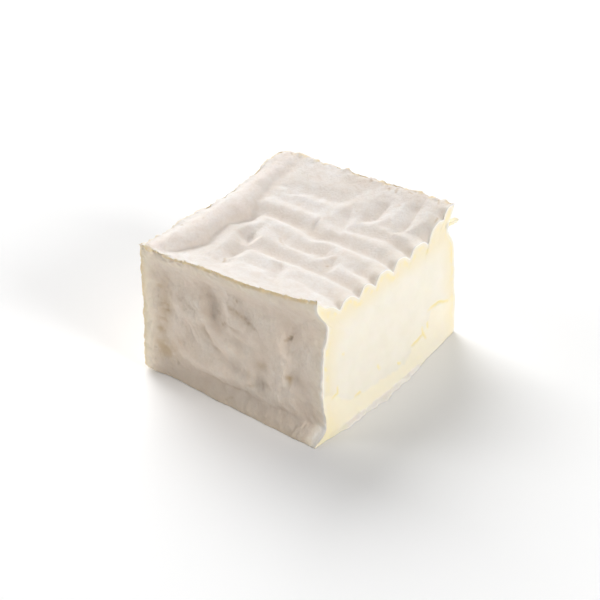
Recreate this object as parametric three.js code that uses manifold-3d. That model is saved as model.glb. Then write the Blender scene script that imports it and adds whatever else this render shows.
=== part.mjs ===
// Half of a brick-shaped goat cheese log with a white bloomy rind.
// Millimetres, +Z up. X runs along the log and ends at the cut face (+X); Y runs across it.
// The rind has sunk between raised edges, and its top has folded into long creases.

import * as THREE from 'three';
import { mergeVertices } from 'three/addons/utils/BufferGeometryUtils.js';
import Module from 'manifold-3d';

// Main sizes of the piece: the top is measured between its creases, the edge at the walls.
const LENGTH = 62.5;
const WIDTH = 70;
const TOP_HEIGHT = 39;
const EDGE_HEIGHT = 43;

// Edges that stand above the sunken top, and how far in from the edge each one dies away.
// The front edge dips near the uncut end, and the back edge thins to a fin at the cut. The edge at the
// uncut end is a bolster, which is lower outside its crest; its foot is given as Y and the way from the end.
const FRONT_LIP = { rise: 3.7, reach: 4.2 };
const FRONT_DIP = { share: 0.2, fromEnd: 11.5, reach: 5.5 };
const BACK_LIP = { rise: 5, reach: 19, sharpness: 1.4 };
const BACK_FIN = { from: 0.86, reach: 11, sharpness: 3 };
const BOLSTER = { rise: 2.9, edge: 0.5, crest: 5, sharpness: 6 };
const BOLSTER_FOOT = [
  [-35, 7.4], [-28.5, 8], [-23, 10], [-18.5, 11.8], [-13, 10.4], [-6, 10.2], [2, 12.8], [8, 10], [15, 8.4],
  [35, 8.6],
];
const BOLSTER_FADE = { from: -2, to: 7 };
const CUT_CORNER = { rise: 2.8, reach: 10 };

// Towards the back, where the bolster meets the raised back edge, a shallow groove marks its foot.
const BOLSTER_GROOVE = { depth: 0.65, half: 2.3, from: 5, to: 14 };

// Creases of the top, each through a few knots of the plan: X, Y and the depth there. They run from the cut
// inwards or from the back to the front, and their bank on the left of the run is the steep one, which is
// wider by a factor where a crease runs across. Close to the cut the banks change places, and the gentle
// one, rounded inside, grows sharp.
const STEEP_BANK = { inside: 4.4, atCut: 5 };
const GENTLE_BANK = { inside: 6.2, atCut: 2.4 };
const BANK_TURN = 0.9;
const CROSS_BANK = 1.2;
const CREASE_SHARPNESS = 1.7;
const CREASE_WANDER = 0.25;
const EDGE_CALM = { from: 1, to: 7, least: 0.3 };
const TOP_CREASES = [
  [
    [31, 2.9, 3.2], [28.5, 3.1, 1.9], [25, 3, 1.4], [21, 2.5, 1.5], [13, 3.6, 1.6], [9, 3.7, 1.6],
    [5, 2.9, 1.8], [1, 3.8, 1.9], [-3, 5.2, 2], [-14, 6.2, 1.9], [-16.8, 5.8, 1.8], [-17.6, 4, 1.9],
    [-17.6, 1, 1.9], [-19.6, -2.6, 1.4], [-21, -6, 0.4],
  ],
  [
    [11.6, 0.5, 0.2], [12.3, -2, 1.2], [12, -4, 1.5], [8, -5.1, 1.4], [0, -4.7, 1.4], [-3, -3.6, 1.5],
    [-6, -1.8, 1.1], [-9, -0.5, 0.4],
  ],
  [
    [31, -6.6, 3.2], [28.5, -6.5, 1.9], [23, -6.2, 1.5], [18.5, -5, 0.5], [17, -7, 1.5], [17.6, -10, 1.5],
    [17.8, -12, 0.6],
  ],
  [
    [31, -14.2, 3.4], [28.5, -13.8, 2], [19, -12.6, 1.6], [10, -12.4, 1.5], [-1, -11.7, 2],
    [-8, -10.8, 2.1], [-9.4, -13, 2.1], [-9.4, -17, 2.1], [-9.6, -20.2, 1.2],
  ],
  [[-11.4, -4.6, 0.8], [-11.2, -7, 2], [-10.4, -9.4, 2], [-9.8, -11.4, 1.4]],
  [[6, -14.6, 0.5], [6.6, -17, 1.5], [7.8, -20, 1.4], [9.2, -23, 0.6]],
  [
    [31, -23.6, 2.8], [28.5, -22.6, 1.6], [18, -20.4, 1.1], [11, -19.8, 0.6], [5, -19.6, 1],
    [-2, -19.8, 1], [-6, -20.4, 0.4],
  ],
  [[31, -31, 0.7], [22, -30, 0]],
  [[31, 11.6, 3.2], [28.5, 11.8, 1.8], [25, 11.6, 1.2], [18, 11.2, 1.1], [9, 10.2, 1.1], [3.5, 10.6, 0.5]],
  [[31, 21.5, 3.6], [29, 20.2, 1.2], [23.5, 17.2, 1.1], [17, 16.8, 0.6]],
  [[14.6, 26.5, 0.5], [14.4, 23, 1.5], [14.2, 19.5, 1.8], [13, 17.4, 1.4], [9, 16.4, 0.5]],
  [[23.6, 30, 0.6], [24, 24.5, 1.4], [24.4, 20, 1.8], [23.6, 17.4, 1.4]],
  [[31, 29.2, 2.6], [29.4, 28.6, 0.6], [26, 28, 0.2]],
  [[6.5, 19, 0.5], [7.2, 16, 1.5], [8, 13, 1.5], [9, 10.6, 1.1]],
  [[-0.5, 12.6, 0.4], [-4, 13, 0.8], [-15, 13.8, 0.9], [-20, 14, 0.5]],
  [[4.6, 29, 0.2], [3.6, 25, 0.6], [2, 22.2, 0.8], [-1, 20.4, 0.9], [-9, 20, 0.9], [-18, 18.4, 0.5]],
  [[-20.2, -8, 0.4], [-20, -12, 0.8], [-18.6, -17, 1], [-19.5, -20.5, 0.8], [-22.6, -28, 0.4]],
  [[-6.6, -20.4, 0.4], [-8, -22.6, 1.2], [-9, -25, 0.6]],
];

// Hollows of the top: place along X and Y, half sizes and depth.
const TOP_DENTS = [
  [-14, -6.4, 3, 3.2, 1.5],
  [22.2, 28, 1.6, 2, 0.6],
  [-1, 31, 5, 3, 0.5],
  [-14, -23.6, 1.1, 0.8, 0.4],
  [-11.4, -23.4, 0.9, 0.7, 0.4],
];

// Walls: a panel sunk below the edge, with a groove under the lip and another above the foot.
// Both grooves deepen near the cut, where the foot thins to a toe that turns in above its sole.
const PANEL_DEPTH = { front: 2.2, end: 1.6 };
const PANEL_TOP = { low: 34, high: 41 };
const CORNER_POST = 0.13;
const NEAR_CUT = 0.64;
const LIP_GROOVE = { height: 33.5, spread: 4.8, depth: 1.2 };
const LIP_GROOVE_AT_CUT = { height: 31.8, spread: 4.4, depth: 3 };
const FOOT_GROOVE = { height: 5.5, spread: 3, depth: 0.2 };
const FOOT_GROOVE_AT_CUT = { height: 3.6, spread: 4.4, depth: 1.4 };
const FOOT_HEIGHT = 5;
const FOOT_HEIGHT_AT_CUT = 3.2;
const FOOT_FLARE_AT_END = -0.6;
const FOOT_FLARE_AT_CUT = 4.8;
const TOE_TURN = { share: 0.4, from: 0.955, low: 0.3, high: 2 };
const FOOT_RIDGE = { height: 10.5, spread: 2.2, depth: -0.5 };
const BACK_NECK = { height: 36.4, spread: 4.2, depth: 3.5 };
const BACK_BULGE = { height: 11, spread: 14, depth: -1.7 };
const END_WAIST = { height: 24, spread: 19, depth: 1.7 };

// Folds that stand out of the walls, steep on the left of their run: along the wall, height, rise.
const FOLD_BANKS = { steep: 1.5, gentle: 3 };
const WALL_FOLDS = [
  [
    [-10.4, 34.6, 0.5], [-11.2, 32, 1.5], [-11, 28, 1.8], [-8.8, 25, 1.6], [-6.2, 22.6, 1.4],
    [-3.6, 20.2, 1.2], [-1.2, 18.4, 1], [2, 17.2, 0.9], [7, 16.6, 0.4],
  ],
  [[-0.8, 33.4, 0.5], [-1, 30, 1], [0.4, 27.4, 0.8], [4.4, 25.8, 0.8], [9.4, 24.2, 0.3]],
  [[16.6, 30, 0.2], [16.8, 25, 1], [17.6, 22.2, 1], [21, 21.2, 0.3]],
  [[18.6, 19, 0.3], [17.4, 15, 1], [16.2, 11, 1.1], [17.3, 8.6, 0.5]],
  [[7.8, 16.6, 0.3], [7.3, 13, 0.9], [6.2, 9.8, 0.8]],
  [[-23, 28.2, 0.3], [-18, 26.8, 0.7], [-15.5, 24.6, 0.6], [-12.5, 21.6, 0.4], [-10, 17, 0.2]],
];

// The fold above the foot.
const FOOT_FOLD_BANKS = { steep: 2.2, gentle: 3 };
const FOOT_FOLD = [
  [29, 3, 0.3], [25, 3.9, 0.7], [20, 5.2, 0.9], [15, 6.6, 1], [12, 6.2, 1], [9, 6.6, 1.1], [6, 8.2, 1.1],
  [3, 8.8, 1.2], [0, 8.4, 1.2], [-8, 9.4, 1.3], [-13, 10.8, 1.3], [-15.7, 11.8, 1.3], [-18, 13.4, 1.1],
  [-20, 15.6, 0.9], [-22, 18.5, 0.7], [-25, 21.5, 0.2],
];

// The folds come again on the other walls: turned round on the back, and drawn out along the end.
const FOLD_PLACE = { back: { turn: -1, shift: 4 }, end: { turn: 0.9, shift: -3 } };

// Hollows pressed into the walls: place along the wall, height, half sizes and depth.
const FRONT_DENTS = [
  [-8, 28.4, 2.6, 5.4, 1.8],
  [-4.2, 28, 3.2, 4.8, 1.4],
  [4.6, 29.4, 3, 3.4, 1.5],
  [3, 34.6, 2, 1.4, 0.7],
  [2.5, 24.6, 2.6, 1, 0.6],
  [2.2, 21, 4, 1.8, 1],
  [1.6, 12.4, 4, 3, 1.3],
  [11.2, 9.8, 3.4, 2.8, 1.4],
  [11.5, 16.6, 2.6, 2, 0.7],
  [19.4, 28.4, 4, 4.6, 1.3],
  [22.5, 16.4, 3, 2.8, 1],
  [-13, 27.2, 2.4, 2.2, 0.8],
  [-22, 24.6, 2.6, 5, 0.8],
  [-15.5, 17.5, 2.6, 3.4, 0.8],
];
const BACK_DENTS = [
  [-20, 26, 5, 6, 1],
  [-6, 19, 4, 5, 0.9],
  [7, 29, 5, 4, 1.1],
  [19, 14, 4, 4, 0.8],
];
const END_DENTS = [
  [-22, 24, 5, 6, 1],
  [-8, 30, 5, 4, 1.2],
  [5, 17, 6, 4, 1],
  [19, 27, 5, 5, 1.1],
];

// Cut face: it leans out towards the foot, and its soft lower edge has slumped. Along the foot the knife
// has dragged the rind out into a thin, ragged skirt.
const CUT_LEAN = 1.1;
const CUT_SLUMP = { out: 2.4, spread: 5, centre: 0, half: 38 };
const SKIRT = { out: 1.7, height: 1, rounding: 0.4, centre: -6, half: 24 };
const TATTER = { wave: 3, second: 2.3, depth: 0.35 };

// Upright corners at the uncut end.
const CORNER_RADIUS = 3.5;

// Thin curl that the knife left hanging from the back lip.
const CURL = { length: 8, root: 2, thick: 1.2, width: 2.6, height: 38 };
const CURL_DROOP = { taper: 0.45, drop: 2.4, bend: 0.8 };
const CURL_STEPS = [2, 6, 1];

// Steps of the surface along X, Y and Z, closer together near the edges by these shares.
const STEPS = [41, 47, 20];
const EDGE_CROWDING = [0.3, 0.25, 0.4];

// The walls are made a little too long, and trimmed flat where the piece rests. At the uncut end the base
// has curled up.
const BASE_SPARE = 1.5;
const BASE_LIFT = { rise: 1.5, reach: 6 };
const TRIM_OVERSIZE = 3;

// Unevenness of hand-made food: a long swell crossed by a short one, and how high it stands.
const LONG_SWELL = 5;
const SHORT_SWELL = 2.3;
const SWELL_SKEW = 0.55;
const SHORT_SHARE = 0.35;
const UNEVEN_TOP = 0.12;
const UNEVEN_WALL = 0.4;
const UNEVEN_CUT = 0.15;
const WALL_PHASE = { front: 20, back: 50, end: 70 };

const bell = (t) => Math.exp(-t * t);
const ramp = (low, high, t) => THREE.MathUtils.smoothstep(t, low, high);
const mix = THREE.MathUtils.lerp;
const nearCut = (x) => ramp(NEAR_CUT, 1, x / LENGTH + 0.5);

function swell(a, b, wave) {
  return Math.sin((a + SWELL_SKEW * b) / wave) * Math.cos((b - SWELL_SKEW * a) / wave + 1);
}

// Runs between about -1 and 1.
function uneven(a, b) {
  return (1 - SHORT_SHARE) * swell(a, b, LONG_SWELL) + SHORT_SHARE * swell(b, a, SHORT_SWELL);
}

// How a crease's depth falls off across its bank.
const sharp = (t) => Math.max(1 - t, 0) ** CREASE_SHARPNESS;
const soft = (t) => (1 + 2 * t) * Math.max(1 - t, 0) ** 2;

// Size of a crease or a fold near its line, which falls off faster on the left of the line's run. Where the
// line runs across, its steep side is wider by a factor.
function alongLine(line, along, across, steep, gentle, profile, steepProfile = profile, cross = 1) {
  let size = 0;
  for (let i = 1; i < line.length; i += 1) {
    const [fromAlong, fromAcross, fromSize] = line[i - 1];
    const [toAlong, toAcross, toSize] = line[i];
    const run = new THREE.Vector2(toAlong - fromAlong, toAcross - fromAcross);
    const out = new THREE.Vector2(along - fromAlong, across - fromAcross);
    const held = THREE.MathUtils.clamp(out.dot(run) / run.lengthSq(), 0, 1);
    const steepHere = steep * mix(cross, 1, Math.abs(run.x) / run.length());
    const onLeft = run.cross(out) > 0;
    const away = out.addScaledVector(run, -held).length();
    const fall = onLeft ? steepProfile(away / steepHere) : profile(away / gentle);
    size = Math.max(size, mix(fromSize, toSize, held) * fall);
  }
  return size;
}

// Way from the uncut end to the bolster's foot.
function bolsterFoot(y) {
  const next = BOLSTER_FOOT.findIndex((knot) => knot[0] > y);
  if (next < 1) {
    return BOLSTER_FOOT.at(next)[1];
  }
  const [fromY, fromWay] = BOLSTER_FOOT[next - 1];
  const [toY, toWay] = BOLSTER_FOOT[next];
  return mix(fromWay, toWay, (y - fromY) / (toY - fromY));
}

// Height of the raised edges above the crests; where two of them meet, the higher one leads.
function lipRise(x, fromFront, fromBack, fromEnd) {
  const cornerRise = CUT_CORNER.rise * Math.exp((x - LENGTH / 2) / CUT_CORNER.reach);
  const dip = FRONT_DIP.share * bell((fromEnd - FRONT_DIP.fromEnd) / FRONT_DIP.reach);
  const front = (FRONT_LIP.rise + cornerRise) * (1 - dip) * Math.exp(-fromFront / FRONT_LIP.reach);
  const finShare = ramp(BACK_FIN.from, 1, x / LENGTH + 0.5);
  const backReach = mix(BACK_LIP.reach, BACK_FIN.reach, finShare);
  const backSharpness = mix(BACK_LIP.sharpness, BACK_FIN.sharpness, finShare);
  const back = BACK_LIP.rise * Math.exp(-((fromBack / backReach) ** backSharpness));
  const footShare = Math.min(fromEnd / bolsterFoot(fromFront - WIDTH / 2), 1);
  const inner = 1 - footShare ** BOLSTER.sharpness;
  const outer = mix(BOLSTER.edge, 1, ramp(0, BOLSTER.crest, fromEnd));
  const end = BOLSTER.rise * inner * outer * ramp(BOLSTER_FADE.from, BOLSTER_FADE.to, fromFront);
  return (front ** 4 + back ** 4 + end ** 4) ** 0.25;
}

function topHeight(x, y) {
  const fromFront = y + WIDTH / 2;
  const fromBack = WIDTH / 2 - y;
  const fromEnd = x + LENGTH / 2;
  const lips = lipRise(x, fromFront, fromBack, fromEnd);
  const wanderX = x + CREASE_WANDER * uneven(2 * y, x);
  const wanderY = y + CREASE_WANDER * uneven(2 * x, y);
  const turned = ramp(BANK_TURN, 1, x / LENGTH + 0.5);
  const steep = mix(STEEP_BANK.inside, STEEP_BANK.atCut, turned);
  const gentle = mix(GENTLE_BANK.inside, GENTLE_BANK.atCut, turned);
  const bank = (t) => mix(soft(t), sharp(t), turned);
  let drop = 0;
  for (const line of TOP_CREASES) {
    drop = Math.max(drop, alongLine(line, wanderX, wanderY, steep, gentle, bank, sharp, CROSS_BANK));
  }
  const grooved = BOLSTER_GROOVE.depth * ramp(BOLSTER_GROOVE.from, BOLSTER_GROOVE.to, y);
  drop += grooved * bell((fromEnd - bolsterFoot(y)) / BOLSTER_GROOVE.half);
  drop += dentDepth(TOP_DENTS, x, y);
  const fromEdge = Math.min(fromFront, fromBack, fromEnd);
  const calm = mix(EDGE_CALM.least, 1, ramp(EDGE_CALM.from, EDGE_CALM.to, fromEdge));
  return TOP_HEIGHT + lips - drop * calm + UNEVEN_TOP * uneven(x, y);
}

function dentDepth(dents, along, across) {
  let depth = 0;
  for (const [atAlong, atAcross, halfAlong, halfAcross, deep] of dents) {
    depth += deep * bell(Math.hypot((along - atAlong) / halfAlong, (across - atAcross) / halfAcross));
  }
  return depth;
}

// How far a wall lies in at its hollows, less what its folds stand out.
function wallRelief(dents, along, z) {
  let depth = dentDepth(dents, along, z);
  for (const line of WALL_FOLDS) {
    depth -= alongLine(line, along, z, FOLD_BANKS.steep, FOLD_BANKS.gentle, bell);
  }
  depth -= alongLine(FOOT_FOLD, along, z, FOOT_FOLD_BANKS.steep, FOOT_FOLD_BANKS.gentle, bell);
  return depth;
}

const foldPlace = (place, along) => place.turn * along + place.shift;

function groove(shape, shapeAtCut, cutShare, z) {
  const height = mix(shape.height, shapeAtCut.height, cutShare);
  const spread = mix(shape.spread, shapeAtCut.spread, cutShare);
  const depth = mix(shape.depth, shapeAtCut.depth, cutShare);
  return depth * bell((z - height) / spread);
}

const sunkPanel = (z) => 1 - ramp(PANEL_TOP.low, PANEL_TOP.high, z);

const awayFromPost = (share) => ramp(0, CORNER_POST, share);

// Each wall's place, measured outwards from the middle of the piece.
function frontWall(x, z) {
  const share = x / LENGTH + 0.5;
  const cutShare = nearCut(x);
  const footHeight = mix(FOOT_HEIGHT, FOOT_HEIGHT_AT_CUT, cutShare);
  const turn = TOE_TURN.share * ramp(TOE_TURN.from, 1, share) * ramp(TOE_TURN.low, TOE_TURN.high, z);
  const flare = mix(FOOT_FLARE_AT_END, FOOT_FLARE_AT_CUT, share) * (1 - ramp(0, footHeight, z)) * (1 - turn);
  const sunk =
    PANEL_DEPTH.front * sunkPanel(z) +
    groove(LIP_GROOVE, LIP_GROOVE_AT_CUT, cutShare, z) +
    groove(FOOT_GROOVE, FOOT_GROOVE_AT_CUT, cutShare, z) * ramp(0, footHeight, z) +
    groove(FOOT_RIDGE, FOOT_RIDGE, 0, z) * (1 - cutShare) +
    wallRelief(FRONT_DENTS, x, z);
  return WIDTH / 2 + flare - sunk * awayFromPost(share) + UNEVEN_WALL * uneven(x, z + WALL_PHASE.front);
}

function backWall(x, z) {
  const share = x / LENGTH + 0.5;
  const shape = groove(BACK_NECK, BACK_NECK, 1, z) + groove(BACK_BULGE, BACK_BULGE, 1, z);
  const sunk = shape + wallRelief(BACK_DENTS, foldPlace(FOLD_PLACE.back, x), z);
  return WIDTH / 2 - sunk * awayFromPost(share) + UNEVEN_WALL * uneven(x, z + WALL_PHASE.back);
}

function endWall(y, z) {
  const fromPost = Math.min(y / WIDTH + 0.5, 0.5 - y / WIDTH);
  const sunk =
    PANEL_DEPTH.end * sunkPanel(z) +
    groove(LIP_GROOVE, LIP_GROOVE, 0, z) +
    groove(FOOT_GROOVE, FOOT_GROOVE, 0, z) +
    wallRelief(END_DENTS, foldPlace(FOLD_PLACE.end, y), z);
  const waist = groove(END_WAIST, END_WAIST, 0, z);
  return LENGTH / 2 - waist - sunk * awayFromPost(fromPost) + UNEVEN_WALL * uneven(y, z + WALL_PHASE.end);
}

function skirtReach(y) {
  const whole = Math.max(1 - ((y - SKIRT.centre) / SKIRT.half) ** 2, 0);
  const wave = y / TATTER.wave;
  const tatter = 1 - TATTER.depth + TATTER.depth * Math.sin(wave) * Math.cos(TATTER.second * wave + 1);
  return SKIRT.out * whole * tatter;
}

function cutWall(y, z) {
  const lean = CUT_LEAN * (1 - z / TOP_HEIGHT);
  const across = Math.max(1 - ((y - CUT_SLUMP.centre) / CUT_SLUMP.half) ** 2, 0);
  const slump = CUT_SLUMP.out * bell(z / CUT_SLUMP.spread) * across;
  const skirt = skirtReach(y) * (1 - ramp(SKIRT.rounding, 1, z / SKIRT.height));
  return LENGTH / 2 + lean + slump + skirt + UNEVEN_CUT * uneven(2 * y, 2 * z);
}

const crowd = (share, amount) => share - (amount * Math.sin(2 * Math.PI * share)) / (2 * Math.PI);

// Rounds the two upright corners at the uncut end: a square of the plan becomes a quarter disc.
function roundEndCorners(plan) {
  const middle = { x: -LENGTH / 2 + CORNER_RADIUS, y: WIDTH / 2 - CORNER_RADIUS };
  const outX = Math.max(middle.x - plan.x, 0) / CORNER_RADIUS;
  const outY = Math.max(Math.abs(plan.y) - middle.y, 0) / CORNER_RADIUS;
  const shiftX = outX * (1 - Math.sqrt(Math.max(1 - (outY * outY) / 2, 0.5)));
  const shiftY = outY * (1 - Math.sqrt(Math.max(1 - (outX * outX) / 2, 0.5)));
  plan.x += CORNER_RADIUS * shiftX;
  plan.y -= CORNER_RADIUS * shiftY * Math.sign(plan.y);
}

// Moves a point of a unit cube to its place on the cheese.
function placeOnCheese(point) {
  const share = point.toArray().map((value, axis) => crowd(value + 0.5, EDGE_CROWDING[axis]));
  const x = LENGTH * (share[0] - 0.5);
  const y = WIDTH * (share[1] - 0.5);
  const level = mix(-BASE_SPARE, EDGE_HEIGHT, share[2]);
  point.x = mix(-endWall(y, level), cutWall(y, level), share[0]);
  point.y = mix(-frontWall(x, level), backWall(x, level), share[1]);
  const lift = (BASE_SPARE + BASE_LIFT.rise) * bell((x + LENGTH / 2) / BASE_LIFT.reach);
  point.z = mix(lift - BASE_SPARE, topHeight(x, y), share[2]);
  roundEndCorners(point);
}

// Moves a point of a unit cube to its place on the curl, which thins and droops towards its tip.
function placeOnCurl(point) {
  const share = point.y + 0.5;
  const taper = 1 - CURL_DROOP.taper * share;
  const root = backWall(LENGTH / 2, CURL.height) - CURL.root;
  point.x = LENGTH / 2 - CURL.width / 2 + point.x * CURL.width * taper - CURL_DROOP.bend * share ** 2;
  point.y = root + (CURL.length + CURL.root) * share;
  point.z = CURL.height + point.z * CURL.thick * taper - CURL_DROOP.drop * share ** 1.5;
}

// Moves a point of a unit cube to its place on the spare that is trimmed off under the base.
function placeUnderBase(point) {
  point.multiply(new THREE.Vector3(TRIM_OVERSIZE * LENGTH, TRIM_OVERSIZE * WIDTH, 2 * BASE_SPARE));
  point.z -= BASE_SPARE;
}

function shapedBox(steps, place) {
  const box = new THREE.BoxGeometry(1, 1, 1, ...steps);
  box.deleteAttribute('normal');
  box.deleteAttribute('uv');
  const corners = box.getAttribute('position');
  const point = new THREE.Vector3();
  for (let i = 0; i < corners.count; i += 1) {
    point.fromBufferAttribute(corners, i);
    place(point);
    corners.setXYZ(i, point.x, point.y, point.z);
  }
  return mergeVertices(box, 1e-4);
}

const wasm = await Module();
wasm.setup();

function toSolid(geometry) {
  const vertProperties = new Float32Array(geometry.getAttribute('position').array);
  const triVerts = new Uint32Array(geometry.index.array);
  return new wasm.Manifold(new wasm.Mesh({ numProp: 3, vertProperties, triVerts }));
}

function toGeometry(solid) {
  const mesh = solid.getMesh();
  const geometry = new THREE.BufferGeometry();
  geometry.setAttribute('position', new THREE.BufferAttribute(new Float32Array(mesh.vertProperties), 3));
  geometry.setIndex(new THREE.BufferAttribute(new Uint32Array(mesh.triVerts), 1));
  return geometry;
}

// The origin is on the base, under the middle of the piece's box.
function standOnOrigin(geometry) {
  geometry.computeBoundingBox();
  const middle = geometry.boundingBox.getCenter(new THREE.Vector3());
  geometry.translate(-middle.x, -middle.y, -geometry.boundingBox.min.z);
  geometry.computeVertexNormals();
  return geometry;
}

const block = toSolid(shapedBox(STEPS, placeOnCheese));
const curl = toSolid(shapedBox(CURL_STEPS, placeOnCurl));
const spare = toSolid(shapedBox([1, 1, 1], placeUnderBase));
const paste = new THREE.MeshStandardMaterial({ color: 0xe8decb, roughness: 0.85, metalness: 0 });
const cheese = new THREE.Mesh(standOnOrigin(toGeometry(block.add(curl).subtract(spare))), paste);
cheese.name = 'goat_cheese_piece';

const model = new THREE.Group();
model.add(cheese);

export default model;
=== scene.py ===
"""Half of a brick-shaped goat cheese log, cut across once.

The rind is white and velvety, and it has sunk between raised, worn edges. The cut shows a yellow ripened
layer under the rind and a chalky core. Sizes are in millimetres, and the mesh is made in metres.
X runs along the log and ends at the cut (+X); the front rind wall is at -Y; Z is up.
"""

import math

import bmesh
import bpy
import numpy as np
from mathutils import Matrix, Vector, kdtree, noise


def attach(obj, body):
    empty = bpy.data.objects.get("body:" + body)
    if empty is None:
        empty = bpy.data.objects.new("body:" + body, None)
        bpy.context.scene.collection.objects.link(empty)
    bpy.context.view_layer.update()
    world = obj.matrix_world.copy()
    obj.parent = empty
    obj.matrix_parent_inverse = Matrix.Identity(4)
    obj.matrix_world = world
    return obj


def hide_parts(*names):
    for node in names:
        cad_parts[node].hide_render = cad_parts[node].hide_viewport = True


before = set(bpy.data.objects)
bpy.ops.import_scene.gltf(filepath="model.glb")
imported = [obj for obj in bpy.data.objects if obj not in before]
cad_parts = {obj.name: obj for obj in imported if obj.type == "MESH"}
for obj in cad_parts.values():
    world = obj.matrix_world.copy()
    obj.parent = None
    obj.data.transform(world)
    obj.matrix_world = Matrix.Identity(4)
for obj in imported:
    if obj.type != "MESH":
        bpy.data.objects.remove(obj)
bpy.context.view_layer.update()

MM = 0.001

# Main sizes of the piece, as in the solid.
LENGTH = 62.5
WIDTH = 70
TOP_HEIGHT = 39
EDGE_HEIGHT = 43
CORNER_RADIUS = 3.5

# Edges that stand above the sunken top, and how far in from the edge each one dies away.
# A pair holds a value far from the cut and the value at the cut.
FRONT_LIP_RISE = 3.7
FRONT_LIP_REACH = 4.2
BACK_LIP_RISE = 5
BACK_LIP_REACH = (19, 11)
BACK_LIP_SHARPNESS = (1.4, 3)
BACK_LIP_FIN = 0.86
END_LIP_RISE = 2.9
END_LIP_EDGE = 0.5
END_LIP_CREST = 5
END_LIP_SLOPE = 6
FRONT_DIP = 0.2
FRONT_DIP_FROM_END = 11.5
FRONT_DIP_REACH = 5.5
CUT_CORNER_RISE = 2.8
CUT_CORNER_REACH = 10
# The bolster along the uncut end: Y, and how far from the end its inner foot lies.
BOLSTER_FOOT = (
    (-35, 7.4), (-28.5, 8), (-23, 10), (-18.5, 11.8), (-13, 10.4), (-6, 10.2), (2, 12.8), (8, 10),
    (15, 8.4), (35, 8.6),
)
# It rises to its full height between these distances from the front.
BOLSTER_RISE = (-2, 7)
# Where raised edges meet, a higher power lets the higher edge lead more.
LIP_BLEND = 4

# Towards the back, where the bolster meets the raised back edge, a shallow groove marks its foot.
BOLSTER_GROOVE = 0.65
BOLSTER_GROOVE_HALF = 2.3
BOLSTER_GROOVE_STARTS = (5, 14)

# Creases of the top, each through a few knots of the plan: X, Y and the depth there. They run from the cut
# inwards or from the back to the front, so that their steep bank, on the left of the run, faces the back or
# the end. The banks are pairs of widths, far from the cut and at it; they change from a share of the length.
STEEP_BANK = (4.4, 5)
GENTLE_BANK = (6.2, 2.4)
BANK_TURN = 0.9
CROSS_BANK = 1.2
BANK_POWER = 1.7
CREASE_WANDER = 0.25
CREASE_WANDER_PACE = 2
TOP_CREASES = [
    (
        (31, 2.9, 3.2), (28.5, 3.1, 1.9), (25, 3, 1.4), (21, 2.5, 1.5), (13, 3.6, 1.6), (9, 3.7, 1.6),
        (5, 2.9, 1.8), (1, 3.8, 1.9), (-3, 5.2, 2), (-14, 6.2, 1.9), (-16.8, 5.8, 1.8), (-17.6, 4, 1.9),
        (-17.6, 1, 1.9), (-19.6, -2.6, 1.4), (-21, -6, 0.4),
    ),
    (
        (11.6, 0.5, 0.2), (12.3, -2, 1.2), (12, -4, 1.5), (8, -5.1, 1.4), (0, -4.7, 1.4), (-3, -3.6, 1.5),
        (-6, -1.8, 1.1), (-9, -0.5, 0.4),
    ),
    (
        (31, -6.6, 3.2), (28.5, -6.5, 1.9), (23, -6.2, 1.5), (18.5, -5, 0.5), (17, -7, 1.5),
        (17.6, -10, 1.5), (17.8, -12, 0.6),
    ),
    (
        (31, -14.2, 3.4), (28.5, -13.8, 2), (19, -12.6, 1.6), (10, -12.4, 1.5), (-1, -11.7, 2),
        (-8, -10.8, 2.1), (-9.4, -13, 2.1), (-9.4, -17, 2.1), (-9.6, -20.2, 1.2),
    ),
    ((-11.4, -4.6, 0.8), (-11.2, -7, 2), (-10.4, -9.4, 2), (-9.8, -11.4, 1.4)),
    ((6, -14.6, 0.5), (6.6, -17, 1.5), (7.8, -20, 1.4), (9.2, -23, 0.6)),
    (
        (31, -23.6, 2.8), (28.5, -22.6, 1.6), (18, -20.4, 1.1), (11, -19.8, 0.6), (5, -19.6, 1),
        (-2, -19.8, 1), (-6, -20.4, 0.4),
    ),
    ((31, -31, 0.7), (22, -30, 0)),
    (
        (31, 11.6, 3.2), (28.5, 11.8, 1.8), (25, 11.6, 1.2), (18, 11.2, 1.1), (9, 10.2, 1.1),
        (3.5, 10.6, 0.5),
    ),
    ((31, 21.5, 3.6), (29, 20.2, 1.2), (23.5, 17.2, 1.1), (17, 16.8, 0.6)),
    ((14.6, 26.5, 0.5), (14.4, 23, 1.5), (14.2, 19.5, 1.8), (13, 17.4, 1.4), (9, 16.4, 0.5)),
    ((23.6, 30, 0.6), (24, 24.5, 1.4), (24.4, 20, 1.8), (23.6, 17.4, 1.4)),
    ((31, 29.2, 2.6), (29.4, 28.6, 0.6), (26, 28, 0.2)),
    ((6.5, 19, 0.5), (7.2, 16, 1.5), (8, 13, 1.5), (9, 10.6, 1.1)),
    ((-0.5, 12.6, 0.4), (-4, 13, 0.8), (-15, 13.8, 0.9), (-20, 14, 0.5)),
    ((4.6, 29, 0.2), (3.6, 25, 0.6), (2, 22.2, 0.8), (-1, 20.4, 0.9), (-9, 20, 0.9), (-18, 18.4, 0.5)),
    ((-20.2, -8, 0.4), (-20, -12, 0.8), (-18.6, -17, 1), (-19.5, -20.5, 0.8), (-22.6, -28, 0.4)),
    ((-6.6, -20.4, 0.4), (-8, -22.6, 1.2), (-9, -25, 0.6)),
]
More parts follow.
